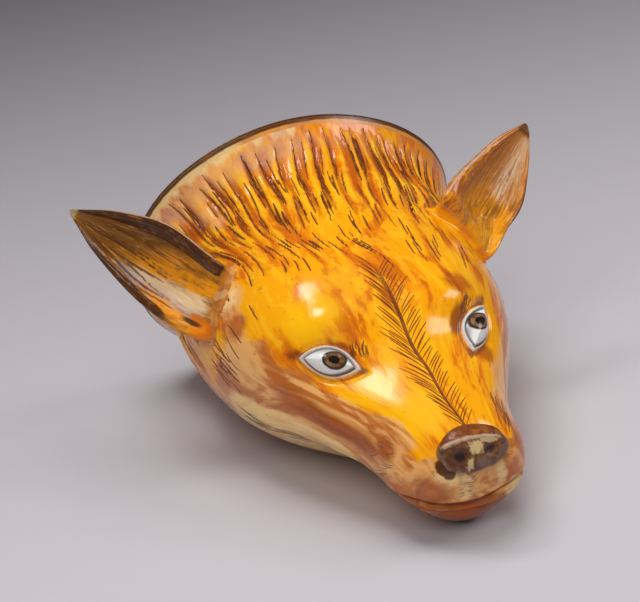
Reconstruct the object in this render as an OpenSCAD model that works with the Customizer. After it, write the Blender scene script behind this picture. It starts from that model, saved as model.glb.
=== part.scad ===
// Stirrup cup in the form of a fox's head, press-moulded in two halves and glazed.
// The cup lies as it is put down: on its chin and on the lower edge of its mouth.
// The nose points to -Y, the fox's left side is +X, and the surface it lies on is Z = 0.

/* [Mouth] */
// Width of the oval mouth over the lip
mouth_w = 84; // [76:1:94]
// Height of the oval mouth over the lip
mouth_h = 75; // [68:1:84]
// Thickness of the lip coil across its flat land
lip_t = 4.2; // [3:0.1:6]
// Length of the lip coil along the cup's axis
lip_l = 3; // [2:0.1:5]
// How far the lip stands out beyond the neck
flare_out = 4.8; // [2:0.1:7]
// Length over which the neck flares out to the lip
flare_l = 16; // [10:0.5:22]

/* [Lengths along the axis] */
// From the mouth to the neck
neck_l = 16; // [12:0.5:20]
// From the neck to the nape, where the ears stand
nape_l = 18; // [14:0.5:22]
// From the nape to the crown
crown_l = 18; // [14:0.5:22]
// From the crown to the brow
brow_l = 12; // [9:0.5:15]
// From the brow to the stop, between the eyes
stop_l = 15; // [12:0.5:18]
// From the stop to the middle of the muzzle
bridge_l = 15; // [12:0.5:18]
// From the middle of the muzzle to the chin
chin_l = 6; // [4:0.5:8]
// From the chin to the tip of the muzzle
tip_l = 11; // [8:0.5:14]
// Length of the rounding at the end of the muzzle
end_round = 12; // [9:0.5:15]

/* [Widths] */
// Width at the neck
neck_w = 74; // [66:1:80]
// Width at the nape
nape_w = 74; // [66:1:80]
// Width at the crown
crown_w = 70; // [62:1:76]
// Width at the brow
brow_w = 63; // [56:1:70]
// Width at the eyes
eyes_w = 48.5; // [42:0.5:54]
// Width at the muzzle
muzzle_w = 35; // [30:0.5:40]
// Width at the end of the muzzle
end_w = 28; // [24:0.5:32]

/* [Heights above and depths below the axis] */
// Height of the neck
neck_up = 32.5; // [29:0.5:36]
// Height of the nape
nape_up = 33.5; // [30:0.5:37]
// Height of the crown
crown_up = 35; // [31:0.5:39]
// Height of the brow
brow_up = 33.5; // [30:0.5:37]
// Height of the stop between the eyes
stop_up = 29.5; // [26:0.5:32]
// Height of the bridge of the muzzle
bridge_up = 29.5; // [26:0.5:32]
// Height of the end of the muzzle
end_up = 27.5; // [25:0.5:30]
// Depth of the neck
neck_dn = 30.5; // [27:0.5:34]
// Depth of the throat under the nape
nape_dn = 24; // [21:0.5:27]
// Depth of the throat under the crown
crown_dn = 17.5; // [15:0.5:20]
// Depth of the jaw under the brow
brow_dn = 13; // [11:0.5:15]
// Depth of the jaw under the eyes
eyes_dn = 6; // [4:0.5:8]
// Depth of the jaw under the muzzle
jaw_dn = 1.5; // [0:0.5:3]
// Height of the chin above the axis
chin_up = 1; // [0:0.5:2]
// Height of the lower lip above the axis at the tip
lip_up = 3; // [2:0.5:5]
// How far the chin is worn flat where it rests
chin_flat = 0.4; // [0.2:0.1:1]

/* [Walls and joints] */
// Thickness of the clay wall
wall = 4.5; // [3.5:0.1:6]
// Thickness of solid clay between the inside and the tip of the muzzle
end_wall = 15; // [12:0.5:18]
// Slip joint between the two halves
seam_gap = 0.2; // [0.1:0.05:0.4]
// Slip under the pieces that are luted on
lute_gap = 0.25; // [0.1:0.05:0.4]
// Diameter of the clay roll smoothed along the seam inside
roll_d = 3.2; // [2:0.1:4.5]

/* [Ears] */
// Length of an ear from its root to its tip
ear_l = 38; // [30:1:46]
// Width of an ear
ear_w = 22; // [17:0.5:26]
// Thickness of an ear at its middle
ear_t = 3.4; // [2.5:0.1:5]
// Thickness of an ear at its root
root_t = 9; // [7:0.5:11]
// Depth of the hollow in an ear
ear_cup = 5; // [3:0.2:7]
// Angle round the head at which an ear stands, from the side upwards
ear_at = 32; // [26:1:38]
// Lift of an ear from the side
ear_lift = 24; // [14:1:34]
// Sweep of an ear towards the mouth
ear_sweep = 43; // [34:1:50]
// Turn of an ear about its own length
ear_turn = -25; // [-35:1:-15]
// Width of the slip fillet round an ear's root
fillet = 2; // [1.2:0.1:3]

/* [Eyes] */
// Length of an eye between its corners
eye_l = 11.5; // [9.5:0.5:13.5]
// Height of an eye between its lids
eye_h = 7.5; // [6:0.5:9]
// Rise of an eye's dome
eye_rise = 2; // [1:0.1:3]
// Thickness of the eye's pellet at its edge
eye_edge = 0.8; // [0.5:0.1:1.5]

/* [Nose] */
// Width of the nose pad, as an angle round the muzzle
nose_span = 66; // [54:1:76]
// Rise of the nose pad above the muzzle
nose_rise = 3.6; // [2.5:0.1:5]
// Thickness of the nose pad at its edge
nose_edge = 1.6; // [1:0.1:2.5]

/* [Hidden] */

clay = "#d8892a";
cream = "#e6d3ac";
brown = "#5b3618";
white = "#ecebe4";

// Rows and columns of the skins: the outside has two for each one of the inside
inner_rows = 20;
inner_end_rows = 6;
inner_cols = 18;
outer_rows = 2 * inner_rows;
outer_end_rows = 2 * inner_end_rows;
outer_cols = 2 * inner_cols;
lip_cols = 96;
ear_rows = 13;
ear_cols = 24;
roll_cols = 8;
pad_rings = 5;
pad_cols = 24;
step = 0.02;

// Stations along the axis, measured forward from the mouth
s_neck = neck_l;
s_nape = s_neck + nape_l;
s_crown = s_nape + crown_l;
s_brow = s_crown + brow_l;
s_stop = s_brow + stop_l;
s_bridge = s_stop + bridge_l;
s_chin = s_bridge + chin_l;
s_tip = s_chin + tip_l;

// Rounding of the lip's edges
lip_soft = lip_l / 3;

// Profiles along the axis, without the flare: station and size
collar_x = mouth_w / 2 - flare_out;
collar_u = mouth_h / 2 - flare_out;
widths = [[lip_soft, collar_x], [s_neck, neck_w / 2], [s_nape, nape_w / 2], [s_crown, crown_w / 2],
    [s_brow, brow_w / 2], [s_stop, eyes_w / 2], [s_bridge, muzzle_w / 2], [s_tip, end_w / 2]];
tops = [[lip_soft, collar_u], [s_neck, neck_up], [s_nape, nape_up], [s_crown, crown_up],
    [s_brow, brow_up], [s_stop, stop_up], [s_bridge, bridge_up], [s_tip, end_up]];
bottoms = [[lip_soft, -collar_u], [s_neck, -neck_dn], [s_nape, -nape_dn], [s_crown, -crown_dn],
    [s_brow, -brow_dn], [s_stop, -eyes_dn], [s_bridge, -jaw_dn], [s_chin, chin_up], [s_tip, lip_up]];
// Height of the widest point, and of the middle that the muzzle's end closes to
sides = [[0, 0], [s_neck, 0], [s_nape, 1], [s_crown, 4.5], [s_brow, 8.5], [s_stop, 14], [s_tip, 15.5]];
middles = [[0, 0], [s_stop, 12], [s_tip, 17]];
// Fullness of the section above and below the widest point, where 2 is an ellipse
full_up = [[0, 2], [s_neck, 2], [s_crown, 2.3], [s_brow, 2.3], [s_stop, 2.2], [s_tip, 2.1]];
full_dn = [[0, 2], [s_crown, 2], [s_brow, 1.85], [s_stop, 1.5], [s_bridge, 1.4],
    [s_chin, 1.1], [s_tip, 1.9]];
end_blunt = 0.45;

// Modelled relief: place across, above and along, its reach in each of these, and its rise
relief = [
    [16, brow_up - 2.5, s_brow + 1, 9, 6, 6, 1.6],
    [17, stop_up - 2, s_stop - 6, 8, 5, 8, -1.4],
    [0, stop_up, s_stop + 3, 6, 5, 10, 1.2],
    [11, 17, s_chin, 6, 7, 8, 1.2],
    [15, 3, s_bridge, 8, 8, 13, -3.2],
    [0, -chin_up, s_chin + 1, 10, 4, 6, 1.8]];

// A smooth curve through the points of a table
function slot(t, s, i = 0) = i >= len(t) - 2 || s < t[i + 1][0] ? i : slot(t, s, i + 1);
function slope(t, i) =
    let(a = max(i - 1, 0), b = min(i + 1, len(t) - 1)) (t[b][1] - t[a][1]) / (t[b][0] - t[a][0]);
function curve(t, s) =
    let(i = slot(t, s), h = t[i + 1][0] - t[i][0], q = min(max((s - t[i][0]) / h, 0), 1))
    t[i][1] * (1 + 2 * q) * pow(1 - q, 2) + slope(t, i) * h * q * pow(1 - q, 2)
    + t[i + 1][1] * q * q * (3 - 2 * q) + slope(t, i + 1) * h * q * q * (q - 1);
function smooth(q) = let(c = min(max(q, 0), 1)) c * c * (3 - 2 * c);
function unit(v) = v / norm(v);
function flare(s) = flare_out * pow(min(max(1 - (s - lip_soft) / flare_l, 0), 1), 2);

// A point of the plain head as [across, above, along]: the run goes from 0 at the mouth to 1
// where the end's rounding starts and 2 at the tip, phi goes round from the throat (-90)
// to the crown (90), and inset is the depth below the outside.
function along(run, inset) =
    let(tip = s_tip - (inset > 0 ? end_wall : 0), start = tip - end_round)
    run <= 1 ? run * start : start + end_round * sin(90 * (run - 1));
function closing(run) = run <= 1 ? 1 : pow(max(cos(90 * (run - 1)), 0), end_blunt);
function section(s, k, phi, inset) =
    let(up = phi >= 0, f = flare(s) - inset,
        side = curve(sides, s), mid = curve(middles, s),
        power = 2 / curve(up ? full_up : full_dn, s),
        reach = up ? curve(tops, s) + f - side : side - curve(bottoms, s) + f,
        across = (curve(widths, s) + f) * pow(max(cos(phi), 0), power),
        above = side + (up ? 1 : -1) * reach * pow(abs(sin(phi)), power))
    [across * k, mid + (above - mid) * k, s];
function plain(run, phi, inset = 0) = section(along(run, inset), closing(run), phi, inset);

// Outward direction of the plain head, and the modelled skin with its relief
function outward(run, phi) =
    let(r0 = max(run - step, 0), r1 = min(run + step, 2), p0 = max(phi - 1, -90), p1 = min(phi + 1, 90))
    unit(cross(plain(run, p1) - plain(run, p0), plain(r1, phi) - plain(r0, phi)));
function rise(p) = [for (b = relief)
    b[6] * exp(-pow((p[0] - b[0]) / b[3], 2) - pow((p[1] - b[1]) / b[4], 2) - pow((p[2] - b[2]) / b[5], 2))]
    * [for (b = relief) 1];
function skin(run, phi, lift = 0) =
    let(p = plain(run, phi), n = outward(run, phi)) p + n * (rise(p) + lift);
function run_at(s) = s / (s_tip - end_round);
function mm_per_degree(run, phi) = norm(plain(run, phi + 2) - plain(run, phi - 2)) / 4;

// Middle and half length of the nose pad along the run of the muzzle's end, and its dome
pad_run = 1.45;
pad_reach = 0.31;
function pad_lift(q) = nose_edge + (nose_rise - nose_edge) * sqrt(1 - q * q);

// The cup tips forward until the chin and the lower edge of the mouth lie on the surface
tilt = min([for (s = [s_bridge : 0.5 : s_tip - end_round / 2])
    atan2(curve(bottoms, s) + mouth_h / 2 + chin_flat, s - lip_soft)]);
axis_z = mouth_h / 2 * cos(tilt) + lip_soft * sin(tilt);
function lay_y(p) = -p[2] * cos(tilt) - p[1] * sin(tilt);
nose_y = min([for (i = [0 : pad_rings]) for (j = [0 : pad_cols - 1])
    lay_y(pad_point(360 * j / pad_cols, i / pad_rings, pad_lift(i / pad_rings)))]);
back_y = lay_y([0, lip_soft - mouth_h / 2, 0]);
axis_y = -(nose_y + back_y) / 2;
function lay(p) =
    [p[0], axis_y + lay_y(p), max(axis_z - p[2] * sin(tilt) + p[1] * cos(tilt), 0)];
function lay_all(points) = [for (p = points) lay(p)];

function ring_middle(ring) = [for (p = ring) 1 / len(ring)] * ring;

// Faces of a closed skin lofted through rings of equal count, with a point at each end
function ring_faces(rings, cols) = [for (i = [0 : rings - 2]) for (j = [0 : cols - 1])
    let(a = i * cols + j, b = i * cols + (j + 1) % cols)
    each [[a, a + cols, b + cols], [a, b + cols, b]]];
function cap_faces(first, cols, centre, turn) = [for (j = [0 : cols - 1])
    let(a = first + j, b = first + (j + 1) % cols) turn ? [centre, b, a] : [centre, a, b]];
module loft(rings, start, finish) {
    cols = len(rings[0]);
    count = len(rings);
    points = concat([for (r = rings) each r], [start, finish]);
    faces = concat(ring_faces(count, cols), cap_faces(0, cols, count * cols, false),
        cap_faces((count - 1) * cols, cols, count * cols + 1, true));
    polyhedron(lay_all(points), faces);
}
// Faces of a closed ring swept round a loop
module loop_sweep(rings) {
    cols = len(rings[0]);
    count = len(rings);
    faces = [for (i = [0 : count - 1]) for (j = [0 : cols - 1])
        let(k = (i + 1) % count, a = i * cols + j, b = i * cols + (j + 1) % cols,
            c = k * cols + j, d = k * cols + (j + 1) % cols)
        each [[a, d, c], [a, b, d]]];
    polyhedron(lay_all([for (r = rings) each r]), faces);
}

// One half of the head: outer skin, inner skin, the face under the lip and the joint face
function runs(rows, ends, first) = concat([for (i = [0 : rows]) first + (1 - first) * i / rows],
    [for (i = [1 : ends - 1]) 1 + i / ends]);
outer_runs = runs(outer_rows, outer_end_rows, run_at(lip_l));
inner_runs = runs(inner_rows, inner_end_rows, lip_l / (s_tip - end_wall - end_round));
function phis(cols) = [for (j = [0 : cols]) -90 + 180 * j / cols];
function at_seam(p) = [max(p[0], seam_gap / 2), p[1], p[2]];
function skin_faces(rows, cols) = concat([for (i = [0 : rows - 2]) for (j = [0 : cols - 1])
        let(a = i * (cols + 1) + j, b = a + cols + 1) each [[a, b, b + 1], [a, b + 1, a + 1]]],
    [for (j = [0 : cols - 1]) let(a = (rows - 1) * (cols + 1) + j) [a, rows * (cols + 1), a + 1]]);
function turned(faces, first) = [for (f = faces) [first + f[0], first + f[2], first + f[1]]];
// A flat strip from an outer edge to an inner edge with half as many steps
function strip(outer, inner) = [for (i = [0 : len(inner) - 2]) each [
    [outer[2 * i], outer[2 * i + 1], inner[i]], [outer[2 * i + 1], inner[i + 1], inner[i]],
    [outer[2 * i + 1], outer[2 * i + 2], inner[i + 1]]]];
function rim_edge(cols, first) = [for (j = [0 : cols]) first + j];
function seam_edge(rows, cols, first) = concat([for (i = [0 : rows - 1]) first + i * (cols + 1) + cols],
    [first + rows * (cols + 1)], [for (i = [rows - 1 : -1 : 0]) first + i * (cols + 1)]);
module half_shell() {
    outer = [for (r = outer_runs) for (f = phis(outer_cols))
        at_seam(r == outer_runs[0] ? plain(r, f) : skin(r, f))];
    inner = [for (r = inner_runs) for (f = phis(inner_cols)) at_seam(plain(r, f, wall))];
    outer_tip = at_seam(plain(2, 90) + [0, 0, rise(plain(2, 90))]);
    inner_tip = at_seam(plain(2, 90, wall));
    no = len(outer_runs);
    ni = len(inner_runs);
    first = len(outer) + 1;
    polyhedron(lay_all(concat(outer, [outer_tip], inner, [inner_tip])), concat(
        skin_faces(no, outer_cols), turned(skin_faces(ni, inner_cols), first),
        strip(rim_edge(outer_cols, 0), rim_edge(inner_cols, first)),
        strip(seam_edge(no, outer_cols, 0), seam_edge(ni, inner_cols, first))));
}
module left_half_shell() { color(clay) half_shell(); }
module right_half_shell() { color(clay) mirror([1, 0, 0]) half_shell(); }

// Coil of clay that finishes the mouth, with a flat land that the cup stands on when it is emptied
function all_round(f) = f <= 90 ? [f, 1] : [180 - f, -1];
function lip_point(f, s, inset) =
    let(side = all_round(f), p = section(s, 1, side[0], inset)) [p[0] * side[1], p[1], s];
module lip_coil() {
    outline = [[lip_soft, 0], [lip_l, 0], [lip_l, lip_t], [lip_soft, lip_t],
        [0, lip_t - lip_soft], [0, lip_soft]];
    color(cream) loop_sweep([for (j = [0 : lip_cols - 1]) let(f = -90 + 360 * j / lip_cols)
        [for (q = outline) lip_point(f, q[0], q[1])]]);
}

// Roll of clay smoothed along the seam inside the cup, from the throat round to the crown
module seam_roll() {
    last = len(inner_runs) - 1;
    bed = concat([for (i = [1 : last]) plain(inner_runs[i], -90, wall)], [plain(2, 90, wall)],
        [for (i = [last : -1 : 1]) plain(inner_runs[i], 90, wall)]);
    rings = [for (i = [0 : 2 * last])
        let(d = unit(bed[min(i + 1, 2 * last)] - bed[max(i - 1, 0)]), n = [0, d[2], -d[1]],
            middle = bed[i] + (lute_gap + roll_d / 2) * n)
        [for (j = [0 : roll_cols - 1]) let(a = 360 * j / roll_cols)
            middle + roll_d / 2 * (cos(a) * [1, 0, 0] + sin(a) * n)]];
    color(cream) loft(rings, ring_middle(rings[0]), ring_middle(rings[2 * last]));
}

// An ear: a root on the head that opens into a pointed, hollowed leaf
ear_dir = [cos(ear_sweep) * cos(ear_lift), cos(ear_sweep) * sin(ear_lift), -sin(ear_sweep)];
ear_flat = [-sin(ear_lift), cos(ear_lift), 0];
ear_across = cos(ear_turn) * ear_flat + sin(ear_turn) * cross(ear_dir, ear_flat);
ear_front = cross(ear_dir, ear_across);
ear_run = run_at(s_nape + 4);
root_slant = 30;
ear_point_l = 0.6;
ear_leaf = [[0, 0.94], [0.2, 1], [0.4, 0.92], [0.6, 0.73], [0.8, 0.46], [0.93, 0.2], [1, 0.06]];
function root_point(a, grow, lift, share = 1) =
    let(p = share * (ear_w / 2 + grow) * cos(a), q = share * (root_t / 2 + grow) * sin(a),
        ds = q * cos(root_slant) - p * sin(root_slant),
        df = (p * cos(root_slant) + q * sin(root_slant)) / mm_per_degree(ear_run, ear_at))
    skin(ear_run + run_at(ds), ear_at + df, lift);
function leaf_point(a, v) =
    let(b = ear_w / 2 * curve(ear_leaf, v), hollow = ear_cup * smooth(v / 0.35) * (b / ear_w * 2),
        t = ear_t + (root_t - ear_t) * pow(1 - v, 3),
        q = sign(sin(a)) * min(t / 2, b) * sqrt(abs(sin(a))) - hollow * pow(sin(a), 2))
    skin(ear_run, ear_at) + ear_dir * ear_l * v + ear_across * b * cos(a) + ear_front * q;
function ear_point(a, v) =
    let(w = smooth(v / 0.3))
    (1 - w) * root_point(a, 0, lute_gap + v * ear_l * 0.7) + w * leaf_point(a, v);
module ear() {
    under = [for (i = [1 : pad_rings - 1])
        [for (j = [0 : ear_cols - 1]) root_point(360 * j / ear_cols, 0, lute_gap, i / pad_rings)]];
    over = [for (i = [0 : ear_rows]) let(v = pow(i / ear_rows, 1.15))
        [for (j = [0 : ear_cols - 1]) ear_point(360 * j / ear_cols, v)]];
    tip = skin(ear_run, ear_at) + ear_dir * (ear_l + ear_point_l);
    color(clay) loft(concat(under, over), skin(ear_run, ear_at, lute_gap), tip);
}
module left_ear() { ear(); }
module right_ear() { mirror([1, 0, 0]) ear(); }

// Slip smoothed into the corner round an ear's root
function clear_of_ear(a, v) =
    let(c = (ear_point(0, v) + ear_point(180, v)) / 2, p = ear_point(a, v)) p + unit(p - c) * lute_gap;
module ear_lute() {
    rings = [for (j = [0 : ear_cols - 1]) let(a = 360 * j / ear_cols)
        [root_point(a, lute_gap, lute_gap), root_point(a, lute_gap + fillet, lute_gap),
            clear_of_ear(a, fillet / ear_l)]];
    color(clay) loop_sweep(rings);
}
module left_ear_lute() { ear_lute(); }
module right_ear_lute() { mirror([1, 0, 0]) ear_lute(); }

// An eye: an almond pellet of white clay bedded on the skin
eye_run = run_at(s_stop - 6);
eye_phi = 53;
eye_slant = 30;
function eye_point(a, q, lift) =
    let(p = q * eye_l / 2 * cos(a), w = -q * eye_h / 2 * sin(a) * abs(sin(a)),
        ds = p * cos(eye_slant) - w * sin(eye_slant), df = p * sin(eye_slant) + w * cos(eye_slant))
    skin(eye_run + run_at(ds), eye_phi + df / mm_per_degree(eye_run, eye_phi), lift);
module eye() {
    under = [for (i = [1 : pad_rings]) let(q = i / pad_rings)
        [for (j = [0 : pad_cols - 1]) eye_point(360 * j / pad_cols, q, lute_gap)]];
    over = [for (i = [pad_rings : -1 : 1]) let(q = i / pad_rings)
        [for (j = [0 : pad_cols - 1])
            eye_point(360 * j / pad_cols, q, lute_gap + eye_edge + eye_rise * (1 - q * q))]];
    color(white) loft(concat(under, over), eye_point(0, 0, lute_gap),
        eye_point(0, 0, lute_gap + eye_edge + eye_rise));
}
module left_eye() { eye(); }
module right_eye() { mirror([1, 0, 0]) eye(); }

// Nose pad: a rounded oval of clay on the upper front of the muzzle
function pad_point(a, q, lift) =
    let(f = 90 - nose_span / 2 * q * cos(a), side = all_round(f),
        p = skin(pad_run - pad_reach * q * sin(a), side[0], lute_gap + lift))
    [p[0] * side[1], p[1], p[2]];
module nose_pad() {
    under = [for (i = [1 : pad_rings]) [for (j = [0 : pad_cols - 1])
        pad_point(360 * j / pad_cols, i / pad_rings, 0)]];
    over = [for (i = [pad_rings : -1 : 1]) let(q = i / pad_rings)
        [for (j = [0 : pad_cols - 1]) pad_point(360 * j / pad_cols, q, pad_lift(q))]];
    color(brown) loft(concat(under, over), pad_point(0, 0, 0), pad_point(0, 0, nose_rise));
}

left_half_shell();
right_half_shell();
lip_coil();
seam_roll();
left_ear();
right_ear();
left_ear_lute();
right_ear_lute();
left_eye();
right_eye();
nose_pad();
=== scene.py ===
# %% [markdown]
# # A fox's head in glazed earthenware
# A stirrup cup is a cup without a foot. This one is a fox's head: a potter pressed it in a mould in two
# halves, joined the halves with slip, stuck on the ears, the eyes and the nose, painted it and glazed it.
# The solids are made already. This lesson gives each of them the look of the real piece, in the solids'
# own frame: carved hair, brush strokes, runny colours and a glossy skin.

# %% Load the frame that every piece sits in
from math import cos, degrees, pi, radians, sin

import bpy
import numpy as np
from mathutils import Matrix, Vector
from mathutils.kdtree import KDTree


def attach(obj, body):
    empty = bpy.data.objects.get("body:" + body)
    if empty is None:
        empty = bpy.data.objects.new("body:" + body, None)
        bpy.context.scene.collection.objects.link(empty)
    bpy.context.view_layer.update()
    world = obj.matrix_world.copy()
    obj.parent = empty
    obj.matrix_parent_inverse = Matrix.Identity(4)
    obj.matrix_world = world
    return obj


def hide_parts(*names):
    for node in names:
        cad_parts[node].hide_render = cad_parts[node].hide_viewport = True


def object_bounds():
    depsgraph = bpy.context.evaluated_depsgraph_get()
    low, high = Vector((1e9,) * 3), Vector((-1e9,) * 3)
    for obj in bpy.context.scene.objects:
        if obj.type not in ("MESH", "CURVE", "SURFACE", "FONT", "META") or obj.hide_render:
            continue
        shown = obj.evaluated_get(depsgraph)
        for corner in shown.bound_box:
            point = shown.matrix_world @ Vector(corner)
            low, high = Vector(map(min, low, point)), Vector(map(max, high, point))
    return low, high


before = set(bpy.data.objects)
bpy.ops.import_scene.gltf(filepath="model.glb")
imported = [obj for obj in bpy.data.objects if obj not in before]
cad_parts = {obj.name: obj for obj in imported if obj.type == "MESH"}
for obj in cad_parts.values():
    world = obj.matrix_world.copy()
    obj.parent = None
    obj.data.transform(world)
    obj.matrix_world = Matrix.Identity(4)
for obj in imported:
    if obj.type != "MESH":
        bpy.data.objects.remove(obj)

MM = 0.001
cad_box = [list(corner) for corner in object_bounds()]
print("solids:", len(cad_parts), "box", np.round(np.array(cad_box), 4).tolist())

# %% [markdown]
# ## Camera
# The cup is seen from the front, from a little above and from its right side, with the picture turned by
# a few degrees. The angles, the distance and the focal length come from setting the eyes, the ear tips,
# the nose and the outline of the solids over the photograph. The focal length is written in pixels,
# because that is how it was measured, and turned into millimetres of a 36 mm wide sensor.

# %% Camera
def into_scene(name, data):
    """A new object for the data, linked into the scene."""
    thing = bpy.data.objects.new(name, data)
    bpy.context.scene.collection.objects.link(thing)
    return thing


PICTURE_WIDTH = 640
SENSOR_WIDTH = 36
azimuth, elevation, roll = radians(-17.14), radians(22.92), radians(-6.17)
camera_distance = 0.5621
focal_pixels = 2446
aim = Vector((-0.01106, -0.00451, 0.03943))

back = Vector((sin(azimuth) * cos(elevation), -cos(azimuth) * cos(elevation), sin(elevation)))
level = Vector((cos(azimuth), sin(azimuth), 0))
upright = back.cross(level)
right = level * cos(roll) + upright * sin(roll)
up = upright * cos(roll) - level * sin(roll)

camera_data = bpy.data.cameras.new("camera")
camera_data.sensor_fit = "HORIZONTAL"
camera_data.sensor_width = SENSOR_WIDTH
camera_data.lens = focal_pixels * SENSOR_WIDTH / PICTURE_WIDTH
camera_data.clip_start, camera_data.clip_end = 0.01, 20
camera = into_scene("camera", camera_data)
camera_turn = Matrix((right, up, back)).transposed().to_4x4()
camera.matrix_world = Matrix.Translation(aim + back * camera_distance) @ camera_turn
bpy.context.scene.camera = camera
print("lens", round(camera_data.lens, 1), "mm")

# %% [markdown]
# ## The form of the head
# The head is a shape that follows rules: at each station along the axis it has a width, a height, a depth
# and a fullness, and a smooth curve joins the stations. The same rules and sizes made the solids, so they
# are written here again, in millimetres. A point is given as across (to the fox's left), above the axis,
# and along it from the mouth of the cup to the nose.

# %% Sizes of the head
mouth_w, mouth_h, lip_t, lip_l = 84, 75, 4.2, 3
flare_out, flare_l = 4.8, 16
s_neck, s_nape, s_crown, s_brow, s_stop, s_bridge, s_chin, s_tip = 16, 34, 52, 64, 79, 94, 100, 111
end_round, end_blunt = 12, 0.45
wall, end_wall, lute_gap, roll_d, chin_flat = 4.5, 15, 0.25, 3.2, 0.4
brow_up, stop_up, chin_up = 33.5, 29.5, 1
lip_soft = lip_l / 3
collar_x, collar_u = mouth_w / 2 - flare_out, mouth_h / 2 - flare_out

widths = [(lip_soft, collar_x), (s_neck, 37), (s_nape, 37), (s_crown, 35), (s_brow, 31.5),
          (s_stop, 24.25), (s_bridge, 17.5), (s_tip, 14)]
tops = [(lip_soft, collar_u), (s_neck, 32.5), (s_nape, 33.5), (s_crown, 35), (s_brow, brow_up),
        (s_stop, stop_up), (s_bridge, 29.5), (s_tip, 27.5)]
bottoms = [(lip_soft, -collar_u), (s_neck, -30.5), (s_nape, -24), (s_crown, -17.5), (s_brow, -13),
           (s_stop, -6), (s_bridge, -1.5), (s_chin, chin_up), (s_tip, 3)]
sides = [(0, 0), (s_neck, 0), (s_nape, 1), (s_crown, 4.5), (s_brow, 8.5), (s_stop, 14), (s_tip, 15.5)]
middles = [(0, 0), (s_stop, 12), (s_tip, 17)]
full_up = [(0, 2), (s_neck, 2), (s_crown, 2.3), (s_brow, 2.3), (s_stop, 2.2), (s_tip, 2.1)]
full_dn = [(0, 2), (s_crown, 2), (s_brow, 1.85), (s_stop, 1.5), (s_bridge, 1.4), (s_chin, 1.1), (s_tip, 1.9)]
# Swellings and hollows: across, above and along, the three reaches, and how far the skin rises
relief = [(16, brow_up - 2.5, s_brow + 1, 9, 6, 6, 1.6), (17, stop_up - 2, s_stop - 6, 8, 5, 8, -1.4),
          (0, stop_up, s_stop + 3, 6, 5, 10, 1.2), (11, 17, s_chin, 6, 7, 8, 1.2),
          (15, 3, s_bridge, 8, 8, 13, -3.2), (0, -chin_up, s_chin + 1, 10, 4, 6, 1.8)]
print("stations:", [s_neck, s_nape, s_crown, s_brow, s_stop, s_bridge, s_chin, s_tip])


# %% Smooth curves and the skin of the head
def smooth(low, high, value):
    q = np.clip((np.asarray(value, float) - low) / (high - low), 0, 1)
    return q * q * (3 - 2 * q)


def bump(value, middle, reach):
    return np.exp(-((np.asarray(value, float) - middle) / reach) ** 2)


def window(value, a, b, c, d):
    return smooth(a, b, value) * (1 - smooth(c, d, value))


def curve(table, s):
    x, y = np.array(table, float).T
    s, last = np.asarray(s, float), len(x) - 1
    low, high = np.maximum(np.arange(last + 1) - 1, 0), np.minimum(np.arange(last + 1) + 1, last)
    slope = (y[high] - y[low]) / (x[high] - x[low])
    i = np.clip(np.searchsorted(x, s, side="right") - 1, 0, last - 1)
    h = x[i + 1] - x[i]
    q = np.clip((s - x[i]) / h, 0, 1)
    return (y[i] * (1 + 2 * q) * (1 - q) ** 2 + slope[i] * h * q * (1 - q) ** 2
            + y[i + 1] * q * q * (3 - 2 * q) + slope[i + 1] * h * q * q * (q - 1))


def unit(v):
    return v / np.maximum(np.linalg.norm(v, axis=-1, keepdims=True), 1e-9)


def flare(s):
    return flare_out * np.clip(1 - (s - lip_soft) / flare_l, 0, 1) ** 2


def section(s, k, phi, inset):
    hand = np.where(phi > 90, -1.0, 1.0)
    angle = np.radians(np.where(phi > 90, 180 - phi, phi))
    over, f = angle >= 0, flare(s) - inset
    side, middle = curve(sides, s), curve(middles, s)
    power = 2 / np.where(over, curve(full_up, s), curve(full_dn, s))
    reach = np.where(over, curve(tops, s) + f - side, side - curve(bottoms, s) + f)
    across = (curve(widths, s) + f) * np.maximum(np.cos(angle), 0) ** power
    above = side + np.where(over, 1, -1) * reach * np.abs(np.sin(angle)) ** power
    return np.stack([hand * across * k, middle + (above - middle) * k, s + 0 * across], -1)


def plain(run, phi, inset=0.0):
    run, phi = np.broadcast_arrays(np.asarray(run, float), np.asarray(phi, float))
    start = s_tip - (end_wall if inset > 0 else 0) - end_round
    quarter = np.radians(90 * np.clip(run - 1, 0, 1))
    s = np.where(run <= 1, run * start, start + end_round * np.sin(quarter))
    return section(s, np.maximum(np.cos(quarter), 0) ** end_blunt * np.where(run >= 2, 0, 1), phi, inset)


def outward(run, phi):
    run, phi = np.broadcast_arrays(np.asarray(run, float), np.asarray(phi, float))
    around = plain(run, phi + 1) - plain(run, phi - 1)
    ahead = plain(np.minimum(run + 0.02, 1.98), phi) - plain(np.maximum(run - 0.02, 0), phi)
    return unit(np.cross(around, ahead))


def rise(p):
    x, u, s = np.abs(p[..., 0]), p[..., 1], p[..., 2]
    return sum(b[6] * bump(x, b[0], b[3]) * bump(u, b[1], b[4]) * bump(s, b[2], b[5]) for b in relief)


def skin(run, phi, lift=0.0):
    p = plain(run, phi)
    return p + outward(run, phi) * (rise(p) + lift)[..., None]


def run_at(s):
    return s / (s_tip - end_round)


def mm_per_degree(run, phi):
    return float(np.linalg.norm(plain(run, phi + 2) - plain(run, phi - 2)) / 4)


print("crown", np.round(skin(run_at(s_crown), 90.0), 2).tolist())

# %% [markdown]
# ## How the cup lies
# The cup lies on its chin and on the lower edge of its mouth, so the whole form is tipped forward. A cup
# that is pressed by hand is not quite even either: on the real one the muzzle leans over by about two
# millimetres and the rim is a little wavy. Both come in here, in one function that every point of every
# piece goes through, so that the pieces still fit each other.

# %% Lay a point on the table
chin_line = np.arange(s_bridge, s_tip - end_round / 2 + 0.01, 0.5)
tilt = float(np.min(np.arctan2(curve(bottoms, chin_line) + mouth_h / 2 + chin_flat, chin_line - lip_soft)))
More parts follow.
